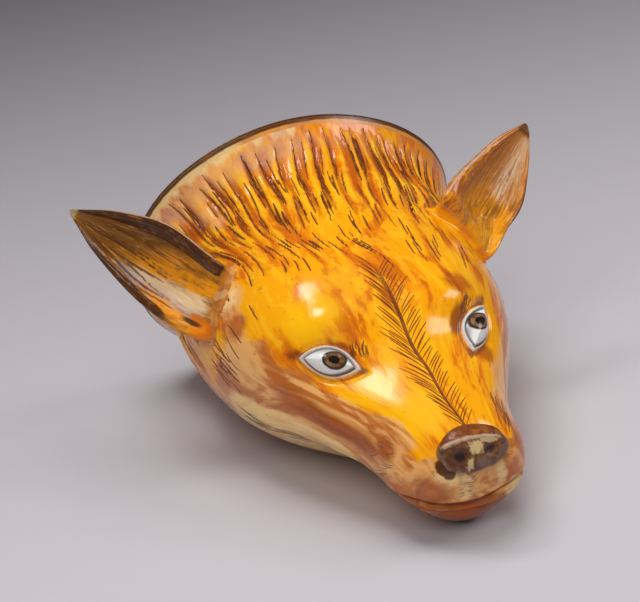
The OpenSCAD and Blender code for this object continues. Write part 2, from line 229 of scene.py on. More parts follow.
# The middle of the mouth along y, as in the solids
axis_y = 50.4877
axis_z = mouth_h / 2 * cos(tilt) + lip_soft * sin(tilt)
muzzle_lean = 2.36
rim_wave, rim_depth, rim_size = 0.35, 26, 40


def turn(v):
    return np.stack([v[..., 0], -v[..., 2] * cos(tilt) - v[..., 1] * sin(tilt),
                     -v[..., 2] * sin(tilt) + v[..., 1] * cos(tilt)], -1)


def lay(p):
    p = np.array(p, float)
    angle = np.arctan2(p[..., 1], p[..., 0])
    near_rim = 1 - smooth(0, rim_depth, p[..., 2])
    swell = 1 + rim_wave * near_rim * (np.sin(3 * angle + 0.6) + 0.6 * np.sin(5 * angle)) / rim_size
    over = smooth(-20, 0, p[..., 1])
    p[..., 0] += muzzle_lean * smooth(s_stop, s_tip, p[..., 2])
    p[..., :2] *= (1 + (swell - 1) * over)[..., None]
    q = turn(p) + np.array([0, axis_y, axis_z])
    q[..., 2] = np.maximum(q[..., 2], 0)
    return q * MM


print("tipped forward by", round(degrees(tilt), 2), "degrees")

# %% [markdown]
# ## A fine net over the head
# Carved hair needs a skin with points closer together than a stroke is wide. The net has a row about every
# 0.4 mm from the lip to the tip of the nose, and columns all the way round. Both halves share it, so that
# the carving and the shading run on over the seam.

# %% The net
ROW_STEP = 0.4
HALF_COLS = 280
FINE_STEPS = 6000


def evenly(low, high, spacing, path):
    fine = np.linspace(low, high, FINE_STEPS)
    length = np.concatenate([[0], np.cumsum(np.linalg.norm(np.diff(path(fine), axis=0), axis=1))])
    count = int(round(length[-1] / spacing))
    return np.interp(np.linspace(0, length[-1], count + 1), length, fine)


rows = evenly(run_at(lip_l), 2, ROW_STEP, lambda r: plain(r, 40))[:-1]
cols = -90 + 180 * np.arange(2 * HALF_COLS) / HALF_COLS
RUN, PHI = np.meshgrid(rows, cols, indexing="ij")
bare = plain(RUN, PHI)
out = outward(RUN, PHI)
head = bare + out * rise(bare)[..., None]
head[0] = bare[0]
flat_head, flat_out = head.reshape(-1, 3), out.reshape(-1, 3)


def tree_of(points):
    tree = KDTree(len(points))
    for i, p in enumerate(points):
        tree.insert(p, i)
    tree.balance()
    return tree


head_tree = tree_of(flat_head)
print("net:", RUN.shape, "points")


# %% Paths that lie on the skin
def onto(points, tree, surface, normals):
    index = np.array([tree.find(p)[1] for p in points])
    n = normals[index]
    return points - n * np.sum((points - surface[index]) * n, -1, keepdims=True), n


def through(knots, spacing=0.2):
    knots = np.array(knots, float)
    t = np.concatenate([[0], np.cumsum(np.linalg.norm(np.diff(knots, axis=0), axis=1))])
    s = np.linspace(0, t[-1], max(int(t[-1] / spacing), 2) + 1)
    return np.stack([curve(np.stack([t, knots[:, k]], 1), s) for k in range(knots.shape[1])], -1)


def taper(count, ends=0.5):
    return np.sin(pi * np.linspace(0.02, 0.98, count)) ** ends


class Grooves:
    """Strokes that are cut into a surface: points, half width, depth and how much colour sits in each."""

    def __init__(self):
        self.points, self.width, self.depth, self.ink = [], [], [], []

    def add(self, points, width, depth, ink, ends=0.5):
        fade = taper(len(points), ends)
        self.points.append(points)
        self.width.append(width * (0.5 + 0.5 * fade))
        self.depth.append(depth * fade)
        self.ink.append(ink * fade)

    def cut(self, surface):
        tree = tree_of(np.concatenate(self.points))
        width, depth, ink = [np.concatenate(v) for v in (self.width, self.depth, self.ink)]
        found = [tree.find(p)[1:] for p in surface]
        index, away = np.array([f[0] for f in found]), np.array([f[1] for f in found])
        w = width[index]
        valley = depth[index] * (np.exp(-(away / w) ** 2) - 0.25 * bump(away, 2.1 * w, 0.8 * w))
        return -valley, ink[index] * np.exp(-(away / (0.85 * w)) ** 2)


print("a path of 10 mm has", len(through([(0, 0, 0), (0, 0, 10)])), "points")

# %% [markdown]
# ## Carved hair
# Behind the ears the hair is carved into the soft clay with a pointed tool: long, wavy grooves from the rim
# forward, with rounded locks of hair between them and finer strokes on top. Colour gathers in the grooves.
# Modelling each stroke by hand would be slow, so a rule with a fixed seed lays them out: the locks stand at
# even angles, all strokes follow the same swing to and fro and lean round the ears, and each gets its own
# start and length.

# %% Lay out the carved hair
dice = np.random.default_rng(7)
hair = Grooves()
ARC = mm_per_degree(run_at(s_nape), 45)
LOCKS, FINE_PER_LOCK, CROWN_STROKES = 60, 5, 60
# Half width and depth of a cut, in millimetres
LONG_CUT, END_CUT, FINE_CUT, CROWN_CUT = (0.62, 0.55), (0.5, 0.34), (0.42, 0.28), (0.38, 0.14)
lock_deg = 360 / LOCKS


def swing(angle, s):
    """How far the hair has swung sideways at a station, in millimetres."""
    lean = 0.08 * bump(angle, 42, 30) - 0.17 * bump(angle, 134, 36)
    waves = 1.8 * np.sin(s / 9 + angle * 0.045) + 0.5 * np.sin(s / 4.2 + angle * 0.1 + 1)
    return waves + lean * np.minimum(s - lip_l, 30)


def hair_stroke(angle, first, long, cut, ink):
    s = np.linspace(first, first + long, max(int(long / 0.25), 6))
    drift = dice.uniform(-0.07, 0.07) * (s - first)
    hair.add(skin(run_at(s), angle + (swing(angle, s) + drift) / ARC), *cut, ink)


for k in range(LOCKS):
    angle = -90 + k * lock_deg + dice.uniform(-1.6, 1.6)
    first, long = lip_l + dice.uniform(0.8, 3.5), dice.uniform(13, 26)
    hair_stroke(angle, first, long, LONG_CUT, dice.uniform(0.75, 1.0))
    hair_stroke(angle + dice.uniform(-1, 1), first + long + dice.uniform(-2, 3), dice.uniform(7, 13), END_CUT, 0.85)
for k in range(FINE_PER_LOCK * LOCKS):
    angle = -90 + (k + dice.uniform(0.2, 0.8)) * lock_deg / FINE_PER_LOCK
    hair_stroke(angle, dice.uniform(5, 33), dice.uniform(5, 14), FINE_CUT, dice.uniform(0.25, 0.9))
for k in range(CROWN_STROKES):
    hair_stroke(dice.uniform(20, 160), dice.uniform(34, 48), dice.uniform(4, 9), CROWN_CUT, dice.uniform(0.3, 0.8))
print("carved strokes:", len(hair.points))

# %% [markdown]
# ## Mouth, lids and lip
# The fox's mouth is a groove under the nose that runs back along both cheeks, with a second, shallow line
# under the lower lip. A raised rim of clay holds each eye. These are forms that a finger would feel, so
# they move the skin too and are not only drawn. Both eyes look to the fox's left, and one sits at a
# steeper slant than the other, as on the real cup.

# %% Mouth lines
mouth = Grooves()
upper_line = [(-20, 11, 84), (-18, 11.5, 92), (-15.6, 13, 101), (-14, 15, 106), (-12, 15.6, 108.6), (-8, 15, 110.6),
              (-3.4, 14.2, 111), (0, 14, 111), (3, 14.5, 111), (7, 16, 110.8), (10.5, 16.6, 109.6), (13, 16, 107),
              (15.4, 13, 101), (18, 11.5, 92), (20, 11, 84)]
lower_line = [(-13, 12.6, 106.5), (-11, 13.4, 109), (-5.4, 12.6, 110.7), (0, 11.4, 110.9), (5.6, 12, 110.6),
              (10, 13.4, 109.4), (12.6, 13, 107)]
for knots, width, depth, ink in ((upper_line, 0.55, 0.75, 0.9), (lower_line, 0.5, 0.4, 0.7)):
    path, _ = onto(through(knots), head_tree, flat_head, flat_out)
    mouth.add(path, width, depth, ink, 0.35)
print("mouth lines:", len(mouth.points))

# %% Eye places
eye_l, eye_h = 10.6, 6.4
eye_run, eye_phi = run_at(s_stop - 6), 53
eye_mm = mm_per_degree(eye_run, eye_phi)
# For each side: hand, slant, shift across the eye, and the iris's place along and across the eye
eye_places = {"left_eye": (1, 15, -1.0, -0.9, 0.7), "right_eye": (-1, 41, -0.4, 1.2, 0.5)}


def eye_local(run, phi, place):
    hand, slant, shift, _, _ = place
    a = radians(slant)
    ds = (run - eye_run) * (s_tip - end_round)
    df = ((phi if hand > 0 else 180 - phi) - eye_phi) * eye_mm
    return ds * cos(a) + df * sin(a), -ds * sin(a) + df * cos(a) - shift


def almond(p, w):
    h, l = np.abs(w) / eye_h, 2 * np.abs(p) / eye_l
    return h + np.sqrt(h * h + l * l)


lids, lid_paint, eye_shade = np.zeros((3,) + RUN.shape)
for place in eye_places.values():
    p, w = eye_local(RUN, PHI, place)
    q = almond(p, w)
    here = (RUN > 0.55) & (RUN < 0.92) & ((PHI < 90) == (place[0] > 0))
    upper = smooth(-1.5, 1.5, w)
    lids += here * ((0.75 + 0.55 * upper) * bump(q, 1.13, 0.13) - 0.35 * bump(q, 1.48, 0.16))
    lid_paint = np.maximum(lid_paint, here * bump(q, 1.14, 0.14) * (0.6 + 0.4 * upper))
    corner = np.maximum(0.75 * bump(p, -7.4, 3.4) * bump(w, 0.7, 2.0), 0.9 * bump(p, 6.9, 1.8) * bump(w, 0.2, 1.3))
    brow = bump(p, -1.0, 5.0) * bump(w, 5.2, 2.3) if place[0] > 0 else 0.6 * bump(p, 0.5, 4.5) * bump(w, 4.6, 1.5)
    eye_shade = np.maximum(eye_shade, here * np.maximum(corner, np.maximum(brow, bump(q, 1.36, 0.12) * 0.6)))
print("eyes:", list(eye_places))

# %% [markdown]
# ## Move the skin
# Now the grooves are cut: for each point of the net the nearest stroke is looked up, and the point moves
# along its own normal. A slow ripple between the rows of strokes gives the tufts of hair their roundness.

# %% Cut the skin
X, U, S = bare[..., 0], bare[..., 1], bare[..., 2]
SIDE = np.where(PHI > 90, 180 - PHI, PHI)
hair_cut, hair_ink = [v.reshape(RUN.shape) for v in hair.cut(flat_head)]
mouth_cut, mouth_ink = [v.reshape(RUN.shape) for v in mouth.cut(flat_head)]
lock_zone = window(S, 4, 8, 24, 42)
crest = -np.cos(2 * pi * (PHI + 90 - swing(PHI, S) / ARC) / lock_deg)
tufts = 0.16 * lock_zone * crest
lower_lip = 0.55 * bump(U, 13.3, 1.2) * smooth(106, 110, S)
philtrum = bump(X, -2.1, 2.7) ** 2 * window(U, 15, 16, 24, 25.5) * smooth(108.5, 109.5, S)
grain = 0.1 * philtrum * np.sin(U * 4.2 + 0.6 * np.sin(X * 3))
moved = hair_cut + mouth_cut + lids + tufts + lower_lip + grain - 0.25 * philtrum
moved *= smooth(lip_l, lip_l + 2.5, S)
carved = head + out * moved[..., None]
tip = np.array([0, curve(middles, s_tip), s_tip + 0.0])
print("deepest cut", round(float(moved.min()), 2), "mm, highest ridge", round(float(moved.max()), 2), "mm")


# %% Normals of the carved skin
def net_normals(points, end):
    around = np.roll(points, -1, 1) - np.roll(points, 1, 1)
    below = np.concatenate([points[1:], np.broadcast_to(end, points[:1].shape)])
    above = np.concatenate([points[:1], points[:-1]])
    return unit(np.cross(around, below - above))


laid, laid_tip = lay(carved), lay(tip)
shade = net_normals(laid, laid_tip)
carved_normals = net_normals(carved, tip)
carved_tree = tree_of(carved.reshape(-1, 3))
print("laid net box", [np.round(side(laid, (0, 1)), 4).tolist() for side in (np.min, np.max)])

# %% [markdown]
# ## Where the colours go
# The painter laid coloured glazes on with a brush: amber over the whole head, cream under the rim, tan and
# cream on the jaw and the cheeks, a brown band from under the eye to the muzzle, brown on the lips, and dabs
# of rust and pale glaze here and there. Each colour is a soft mask over the net, stored on the points. The
# glaze material breaks the masks up later, so that their edges look runny. NEAR is 1 on the fox's right
# side, where some of the colours are stronger.

# %% Masks for the painted colours
def patches(spots):
    """Dabs of the brush: across, above and along, and the reach of each."""
    return np.max([np.exp(-((X - x) ** 2 + (U - u) ** 2 + (S - s) ** 2) / r ** 2) for x, u, s, r in spots], 0)


NEAR = 1 - smooth(-3, 3, X)
wander = np.sin(PHI * 0.21 + 0.7) + 0.6 * np.sin(PHI * 0.53 + 2) + 0.4 * np.sin(PHI * 1.1)
margin = 0.8 + 2.6 * NEAR * smooth(-10, 40, SIDE) + 0.5 * wander - 0.5 * crest
cheek_edge = np.maximum(26, 22 + (S - 63)) + 2 * np.sin(S * 0.55) + 9 * NEAR * (1 - smooth(68, 84, S))
cheek = window(S, 44, 54, 98, 106) * (0.75 + 0.25 * NEAR)
under_nose = smooth(103.5, 106, S) * np.maximum(1 - smooth(40, 70, SIDE), 1 - smooth(22.5, 26, U))
masks = {
    "hair_ink": hair_ink, "mouth_ink": mouth_ink, "lid": lid_paint, "eye_shade": eye_shade,
    "cream": (1 - smooth(margin - 1.5, margin + 2.5, S)) * smooth(-60, -20, SIDE),
    "jaw": (1 - smooth(-3, 9, SIDE)) * window(S, 50, 60, 84, 96),
    "throat": 1 - smooth(-55, -25, SIDE),
    "tan": np.maximum((1 - smooth(cheek_edge - 14, cheek_edge + 10, SIDE)) * cheek,
                      patches([(-30, 22, 36, 5), (-30.4, 21.5, 42, 5.5), (-31, 19, 48, 5.5)])),
    "band": bump(SIDE, 17 + 0.1 * (S - 80), 9.5) * window(S, 63, 76, 92, 102) * (0.3 + 0.7 * NEAR),
    "pink": np.maximum((1 - smooth(30, 52, SIDE)) * smooth(88, 97, S), under_nose),
    "blush": np.maximum(bump(S, 6.5, 6.5) * smooth(-40, 0, SIDE) * (0.5 + 0.3 * NEAR),
                        0.8 * patches([(-26, 23.4, 12.6, 4.5), (-24.5, 24.6, 17, 4)])),
    "lips": np.maximum(bump(U, 13.2, 1.9) * smooth(104, 109, S),
                       0.8 * (1 - smooth(11, 14, U)) * smooth(98, 105, S)),
    "strip": philtrum,
    "rust_dab": patches([(-29.5, 24.3, 4.5, 4.5), (-31.5, 21, 6, 4), (-29, 20.3, 14, 4), (-9, 18, 108.5, 4.5),
                         (-13.5, 14, 105, 5), (-2, 11, 110, 5), (8, 19, 108.5, 4), (13, 20, 103, 4.5),
                         (-31, 20.5, 49.5, 4), (-16, 23, 98, 3.5), (18, 26, 79, 4), (17, 30, 62, 4)]),
    "pale_dab": patches([(-5, 21.6, 109.7, 2.2), (-7.4, 22.6, 109.3, 2.4), (-30, 21.4, 35, 4.5),
                         (-30.4, 21.7, 41, 4.5), (10, 15, 110, 4), (6.0, 22, 110, 2.2), (6.3, 20, 110.6, 2.2),
                         (6, 18, 110.8, 2)]),
    "drip": 1.1 * patches([(-7.3, 24.1, 108.2, 1.5), (-5.9, 23.1, 109.4, 1.4)]),
    "sunny": patches([(-18, 31.8, 62, 8), (-12, 29.5, 84, 7), (-7.4, 28.4, 95, 8)]),
    # crest also places a painted highlight on the crests of the locks and a painted shade between them
    "nose_end": smooth(103, 107, S), "collar": 1 - smooth(8, 30, S), "crest": crest * lock_zone,
    "hair_across": PHI * ARC - swing(PHI, S), "hair_along": S, "above": U}
print("stored on the points:", ", ".join(masks))


# %% [markdown]
# ## From points to meshes
# One helper makes every mesh: it takes points in metres, faces, values to store on the points, and where
# needed the normals for the shading. Another one closes a gap between two edges that have different
# numbers of points, as between the fine outside and the coarser inside of a half.

# %% Mesh helpers
SHARP_ANGLE = radians(60)


def make_mesh(name, points, faces, values=None, corner_normals=None):
    mesh = bpy.data.meshes.new(name)
    mesh.from_pydata(np.asarray(points).reshape(-1, 3), [], faces)
    for key, value in (values or {}).items():
        mesh.attributes.new(key, "FLOAT", "POINT").data.foreach_set("value", np.asarray(value, np.float32).ravel())
    mesh.shade_smooth()
    if corner_normals is None:
        mesh.set_sharp_from_angle(angle=SHARP_ANGLE)
    else:
        mesh.normals_split_custom_set(corner_normals)
    return into_scene(name, mesh)


def settle(piece, node, material):
    """Give a piece its finish and its place in the frame. A piece that is only paint replaces no node."""
    piece.data.materials.clear()
    piece.data.materials.append(material)
    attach(piece, "root")
    if node:
        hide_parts(node)
    print(piece.name, len(piece.data.polygons), "faces")


def grid_faces(n_rows, n_cols, first=0, ring=False, flip=False):
    i, j = np.meshgrid(np.arange(n_rows - 1), np.arange(n_cols if ring else n_cols - 1), indexing="ij")
    a, b = first + i * n_cols + j, first + i * n_cols + (j + 1) % n_cols
    quads = np.stack([a, b, b + n_cols, a + n_cols], -1).reshape(-1, 4)
    return (quads[:, ::-1] if flip else quads).tolist()


def fan_faces(edge, centre, flip=False):
    fan = [[a, b, centre] for a, b in zip(edge[:-1], edge[1:])]
    return [f[::-1] for f in fan] if flip else fan


def bridge(edge, other, points, towards):
    i, j, faces = 0, 0, []
    while i < len(edge) - 1 or j < len(other) - 1:
        if j == len(other) - 1 or (i < len(edge) - 1 and (i + 1) * (len(other) - 1) <= (j + 1) * (len(edge) - 1)):
            face = [edge[i], edge[i + 1], other[j]]
            i += 1
        else:
            face = [edge[i], other[j + 1], other[j]]
            j += 1
        a, b, c = (points[k] for k in face)
        faces.append(face if np.dot(np.cross(b - a, c - a), towards) >= 0 else face[::-1])
    return faces


print("helpers ready")

# %% [markdown]
# ## The two halves
# Each half is a closed shell, as it came out of its mould: the carved outside, the smooth inside, the face
# under the lip and the joint face. The shading normals of the outside come from the whole net, so the
# joint does not show as a line between the ears.

# %% Half shells
INNER_COLS, INNER_STEP = 56, 2.0
inner_first = lip_l / (s_tip - end_wall - end_round)
inner_runs = evenly(inner_first, 2, INNER_STEP, lambda r: plain(r, 40, wall))[:-1]


def half_shell(name, left):
    first_col = 0 if left else HALF_COLS
    pick = (first_col + np.arange(HALF_COLS + 1)) % (2 * HALF_COLS)
    outer, outer_shade = laid[:, pick], shade[:, pick]
    angles = np.linspace(-90, 90, INNER_COLS + 1) + (0 if left else 180)
    shown = np.where(angles == 270, -90.0, angles)
    inner = lay(plain(inner_runs[:, None], shown[None, :], wall))
    inner_tip = lay(plain(np.array(2.0), 0.0, wall))
    n_out, n_in = len(rows), len(inner_runs)
    w_out, w_in = HALF_COLS + 1, INNER_COLS + 1
    tip_at = n_out * w_out
    first_in = tip_at + 1
    points = np.concatenate([outer.reshape(-1, 3), laid_tip[None], inner.reshape(-1, 3), inner_tip[None]])
    last_row = [(n_out - 1) * w_out + j for j in range(w_out)]
    last_in = [first_in + (n_in - 1) * w_in + j for j in range(w_in)]
    skins = grid_faces(n_out, w_out) + fan_faces(last_row, tip_at)
    skins += grid_faces(n_in, w_in, first_in, flip=True) + fan_faces(last_in, len(points) - 1, flip=True)
    rim_way = turn(np.array([0, 0, -1.0]))
    joint_way = np.array([-1.0 if left else 1.0, 0, 0])
    rim = bridge(list(range(w_out)), [first_in + j for j in range(w_in)], points, rim_way)

    def seam(n, w, first, end):
        return [first + i * w for i in range(n)] + [end] + [first + i * w + w - 1 for i in range(n - 1, -1, -1)]

    joint = bridge(seam(n_out, w_out, 0, tip_at), seam(n_in, w_in, first_in, len(points) - 1), points, joint_way)
    inner_shade = -net_normals(inner, inner_tip)
    vertex_normals = np.concatenate([outer_shade.reshape(-1, 3), unit(turn(np.array([[0, 0, 1.0]]))),
                                     inner_shade.reshape(-1, 3), unit(turn(np.array([[0, 0, -1.0]])))])
    corners = np.array([k for f in skins for k in f])
    normals = np.concatenate([vertex_normals[corners], np.tile(rim_way, (3 * len(rim), 1)),
                              np.tile(joint_way, (3 * len(joint), 1))])
    count_in = len(points) - first_in
    values = {k: np.concatenate([v[:, pick].ravel(), v[-1:, 0], np.zeros(count_in)]) for k, v in masks.items()}
    values["inside"] = np.concatenate([np.zeros(first_in), np.ones(count_in)])
    return make_mesh(name, points, skins + rim + joint, values, normals)


shell_nodes = {"left_half_shell": True, "right_half_shell": False}
halves = {node: half_shell(node + "_glazed", left) for node, left in shell_nodes.items()}
print("half shell:", len(halves["left_half_shell"].data.polygons), "faces")


# %% [markdown]
# ## A small language for finishes
# A finish is a sum of patterns, and sums are easier to read as Python than as a list of links. This class
# holds one output of a node. Plus, minus and times add a Math node each, a name in brackets reads a value
# that is stored on the points, and `node` adds any other node. A finish is then a function that lays coats
# of paint over each other, and `glazed` makes the material from it.

# %% The language
GLAZE_IOR = 1.5


class Field:
    def __init__(self, tree, socket=None):
        self.tree, self.socket = tree, socket

    def node(self, kind, settings=None, inputs=None, out=0):
        made = self.tree.nodes.new(kind)
        for key, value in (settings or {}).items():
            setattr(made, key, value)
        for key, value in (inputs or {}).items():
            if isinstance(value, Field):
                self.tree.links.new(value.socket, made.inputs[key])
            else:
                made.inputs[key].default_value = value
        return Field(self.tree, made.outputs[out] if len(made.outputs) else None)

    def __getitem__(self, name):
        return self.node("ShaderNodeAttribute", {"attribute_name": name}, out=2)

    def math(self, operation, a, b=0.0):
        return self.node("ShaderNodeMath", {"operation": operation}, {0: a, 1: b})

    def __add__(self, other):
        return self.math("ADD", self, other)

    def __sub__(self, other):
        return self.math("SUBTRACT", self, other)

    def __rsub__(self, other):
        return self.math("SUBTRACT", other, self)

    def __mul__(self, other):
        return self.math("MULTIPLY", self, other)

    __radd__, __rmul__ = __add__, __mul__

    def between(self, low, high):
        return self.node("ShaderNodeMapRange", {"interpolation_type": "SMOOTHSTEP"}, {0: self, 1: low, 2: high})


def colour(red, green, blue):
    """A colour as it is read off a screen, made linear."""
    linear = [((v / 255 + 0.055) / 1.055) ** 2.4 if v > 10 else v / 255 / 12.92 for v in (red, green, blue)]
    return (*linear, 1.0)


def over(ground, paint, mask):
    return mask.node("ShaderNodeMix", {"data_type": "RGBA"}, {0: mask, 6: ground, 7: paint}, out=2)


def coats(ground, *layers):
    """Paints laid one over another, each through its own mask."""
    for paint, mask in layers:
        ground = over(ground, paint, mask)
    return ground


def finish_of(name):
    material = bpy.data.materials.new(name)
    material.use_nodes = True
    tree = material.node_tree
    tree.nodes.clear()
    start = Field(tree)
    return material, start, start.node("ShaderNodeTexCoord", out=3)


def noise(place, scale, detail=3.0, roughness=0.55, distortion=0.0):
    return place.node("ShaderNodeTexNoise", None, {"Vector": place, "Scale": scale, "Detail": detail,
                                                   "Roughness": roughness, "Distortion": distortion})


def glazed(paint):
    """Turn a function that paints a body into a material of its name, with a clear lead glaze over that body.
    The function gives the colour, the roughness, the height of the ripples, their millimetres and strength."""
    material, start, place = finish_of(paint.__name__)
    body, roughness, height, bump_mm, strength = paint(start, place)
    normal = start.node("ShaderNodeBump", None, {"Strength": strength, "Distance": bump_mm * MM, "Height": height})
    shader = start.node("ShaderNodeBsdfPrincipled", None, {
        "Base Color": body, "Roughness": roughness, "Normal": normal, "IOR": GLAZE_IOR})
    start.node("ShaderNodeOutputMaterial", None, {"Surface": shader})
    return material


print("language ready")

# %% [markdown]
# ## Fur glaze
# The amber glaze is bright where it lies thick and runs to orange and brown in clouds and streaks. The
# masks on the points say where the other colours lie. Noise is added to each mask before it is cut off,
# which gives the blotchy, hand-laid edges. The glaze is glossy, with a slow ripple that bends reflections.

# %% Fur glaze
def broken(mask, blot, low=0.38, high=0.62, amount=0.55):
    return (mask + (blot - 0.5) * amount).between(low, high)


@glazed
def fur_glaze(start, place):
    flat = start.node("ShaderNodeCombineXYZ", None, {0: start["hair_across"], 1: start["hair_along"] * 0.36})
    cloud, streak, hairs = noise(flat, 0.13, 5, 0.6, 1.0), noise(flat, 0.32, 4, 0.6, 0.8), noise(flat, 1.4, 3, 0.6, 0.3)
    blot, fleck = noise(place, 150, 5, 0.62, 0.9), noise(place, 520, 3, 0.6, 0.3)
    at_end, crest = start["nose_end"], start["crest"]
    cloud, streak = [v + (noise(place, scale, 4, 0.6, 0.8) - v) * at_end for v, scale in ((cloud, 90), (streak, 190))]
    hairs = hairs + (fleck - hairs) * at_end
    smear, run = streak * 0.5 + blot * 0.5, streak * 0.6 + blot * 0.4
    ridges = noise(start.node("ShaderNodeCombineXYZ", None, {2: start["above"]}), 2.1, 3)
    amber, honey, gold, orange = colour(252, 168, 4), colour(255, 200, 34), colour(255, 190, 8), colour(230, 120, 6)
    rust, brown, umber = colour(180, 82, 10), colour(144, 66, 20), colour(82, 42, 20)
    pale, cream, tan = colour(246, 210, 146), colour(240, 202, 140), colour(236, 176, 108)
    jaw, jaw_tan, biscuit = colour(255, 214, 138), colour(246, 186, 112), colour(206, 158, 96)
    pink, lip, white, lilac = colour(186, 102, 48), colour(144, 70, 24), colour(214, 212, 208), colour(206, 152, 122)
    body = coats(
        amber,
        (orange, cloud.between(0.45, 0.62) * 0.9),
        (orange, broken(start["collar"], streak, 0.3, 0.8, 0.9) * 0.6),
        (honey, (1 - streak).between(0.53, 0.58) * 0.4),
        (rust, (streak * 0.6 + cloud * 0.5).between(0.57, 0.67) * 0.5),
        (gold, broken(start["sunny"], streak, 0.3, 0.8, 0.9) * 0.75),
        # painted highlight: honey on the crests of the locks
        (honey, (crest + (hairs - 0.5) * 1.2).between(0.3, 1.1) * 0.5),
        # painted shade: rust in the troughs between the locks
        (rust, (0 - crest + (hairs - 0.5) * 1.4).between(0.1, 1.0) * 0.75),
        (tan, broken(start["throat"], blot, 0.3, 0.7) * 0.75),
        (over(tan, pink, cloud.between(0.42, 0.6)), broken(start["tan"], run, 0.32, 0.68, 0.9) * 0.9),
        (over(jaw, jaw_tan, streak.between(0.46, 0.66)), broken(start["jaw"], blot, 0.25, 0.7, 0.7) * 0.95),
        (over(pink, tan, streak.between(0.4, 0.6)), broken(start["pink"], blot, 0.3, 0.65, 0.7) * 0.85),
        (over(brown, rust, streak.between(0.45, 0.62)), broken(start["band"], smear, 0.1, 0.85, 0.7) * 0.9),
        (over(lip, rust, blot.between(0.55, 0.7)), broken(start["lips"], streak, 0.3, 0.75, 0.6) * 0.8),
        (over(rust, brown, blot.between(0.45, 0.6)), broken(start["rust_dab"], smear, 0.25, 0.8, 1.2) * 0.8),
        (pale, (start["pale_dab"] * (blot * 1.6 + fleck * 1.2 - 0.5)).between(0.35, 0.85) * 0.8),
        (over(tan, lilac, cloud.between(0.42, 0.58)),
         broken(start["blush"], streak * 0.5 + hairs * 0.5, 0.3, 0.95, 1.5) * 0.8),
        (over(cream, lilac, streak.between(0.5, 0.7) * 0.6),
         broken(start["cream"], hairs * 0.6 + blot * 0.4, 0.15, 0.9, 1.2) * 0.92),
        (over(pale, brown, (ridges * 0.5 + fleck * 0.5).between(0.46, 0.58) * 0.8),
         broken(start["strip"], fleck, 0.3, 0.7, 1.7) * 0.85),
        (brown, broken(start["eye_shade"], streak, 0.3, 0.75, 0.6) * 0.85),
        (white, start["lid"].between(0.3, 0.65) * 0.9),
        (brown, (start["hair_ink"] * (0.5 + hairs)).between(0.1, 0.7) * 0.85),
        (over(umber, brown, streak.between(0.4, 0.6)),
         (start["mouth_ink"] * (0.6 + blot * 0.8)).between(0.2, 0.8) * 0.75),
        (umber, broken(start["drip"], blot * 0.5 + fleck * 0.5, 0.35, 0.6, 1.7) * 0.95),
        (brown, fleck.between(0.66, 0.74) * 0.35),
        (coats(cream, (pale, blot.between(0.4, 0.6)), (biscuit, fleck.between(0.62, 0.74) * 0.4)), start["inside"]))
    return body, 0.08 + blot * 0.1, noise(place, 110, 3, 0.5) + streak * 0.35 + hairs * 0.1, 0.35, 0.35


for node, piece in halves.items():
    settle(piece, node, fur_glaze)

# %% [markdown]
# ## Lip
# The mouth of the cup ends in a coil with a flat land. Its outer edge carries a thin brown line and is
# warmer in colour on the fox's left, and the land is paler, because the glaze was wiped off where the cup
# stands in the kiln. It is a rounded outline carried round the same oval as the neck.

# %% Lip coil
LIP_COLS = 560


def rounded(corners, radius, steps=6):
    corners, ring = np.array(corners, float), []
    t = np.linspace(0, 1, steps)[:, None]
    for before, c, after in zip(np.roll(corners, 1, 0), corners, np.roll(corners, -1, 0)):
        r = min(radius, np.linalg.norm(before - c) / 2, np.linalg.norm(after - c) / 2)
        a, b = unit(before - c), unit(after - c)
        ring.append((1 - t) ** 2 * (c + a * r) + 2 * t * (1 - t) * c + t ** 2 * (c + b * r))
    return np.concatenate(ring)


def loop_faces(n_rings, n_points, flip=False):
    """Faces of closed rings that stand in a closed loop."""
    whole = n_rings * n_points
    return [[k % whole for k in f] for f in grid_faces(n_rings + 1, n_points, ring=True, flip=flip)]


outline = np.concatenate([[(lip_l, 0), (lip_l - 0.6, 0), (lip_soft + 0.4, 0)],
                          rounded([(lip_soft, 0), (0, lip_soft * 0.7), (0, lip_t - lip_soft), (lip_soft, lip_t)], 0.8),
                          [(lip_soft + 0.6, lip_t), (lip_l, lip_t), (lip_l, lip_t * 0.66), (lip_l, lip_t * 0.33)]])
outline = outline[np.linalg.norm(outline - np.roll(outline, 1, 0), axis=1) > 1e-6]
lip_phi = -90 + 360 * np.arange(LIP_COLS) / LIP_COLS
lip = section(outline[None, :, 0], 1.0, lip_phi[:, None] + 0 * outline[None, :, 0], outline[None, :, 1])
ahead_of_land, inside_edge = outline.T
lip_values = {"line": bump(ahead_of_land, 1.0, 1.1) * (inside_edge < 0.45),
              "land": smooth(0.5, 1.0, inside_edge) * (1 - smooth(0.2, 0.9, ahead_of_land)),
              "within": smooth(3.2, 4.0, inside_edge),
              "warm": (1 - smooth(98, 126, lip_phi))[:, None] * (1 - smooth(0.3, 0.9, inside_edge))[None, :]}
lip_values = {key: np.broadcast_to(value, lip.shape[:2]) for key, value in lip_values.items()}
lip_piece = make_mesh("lip_coil_glazed", lay(lip), loop_faces(LIP_COLS, len(outline)), lip_values)
print("lip outline:", len(outline), "points")


# %% Lip finish
@glazed
def lip_glaze(start, place):
    blot, fleck = noise(place, 240, 4, 0.6, 0.6), noise(place, 700, 3)
    amber_edge = over(colour(222, 134, 34), colour(196, 128, 70), blot.between(0.42, 0.6))
    brown_line = over(colour(78, 44, 24), colour(128, 76, 36), blot.between(0.5, 0.75))
    body = coats(
        colour(226, 190, 130),
        (colour(216, 150, 70), blot.between(0.5, 0.7) * 0.6),
        (amber_edge, broken(start["warm"], blot, 0.3, 0.7, 0.8) * 0.85),
        (colour(208, 198, 182), broken(start["land"], fleck, 0.35, 0.6, 0.3)),
        (brown_line, broken(start["line"], blot, 0.3, 0.5, 0.35) * 0.95),
        (colour(226, 205, 160), start["within"]))
    return body, 0.18 + blot * 0.2, fleck, 0.05, 0.3


settle(lip_piece, "lip_coil", lip_glaze)

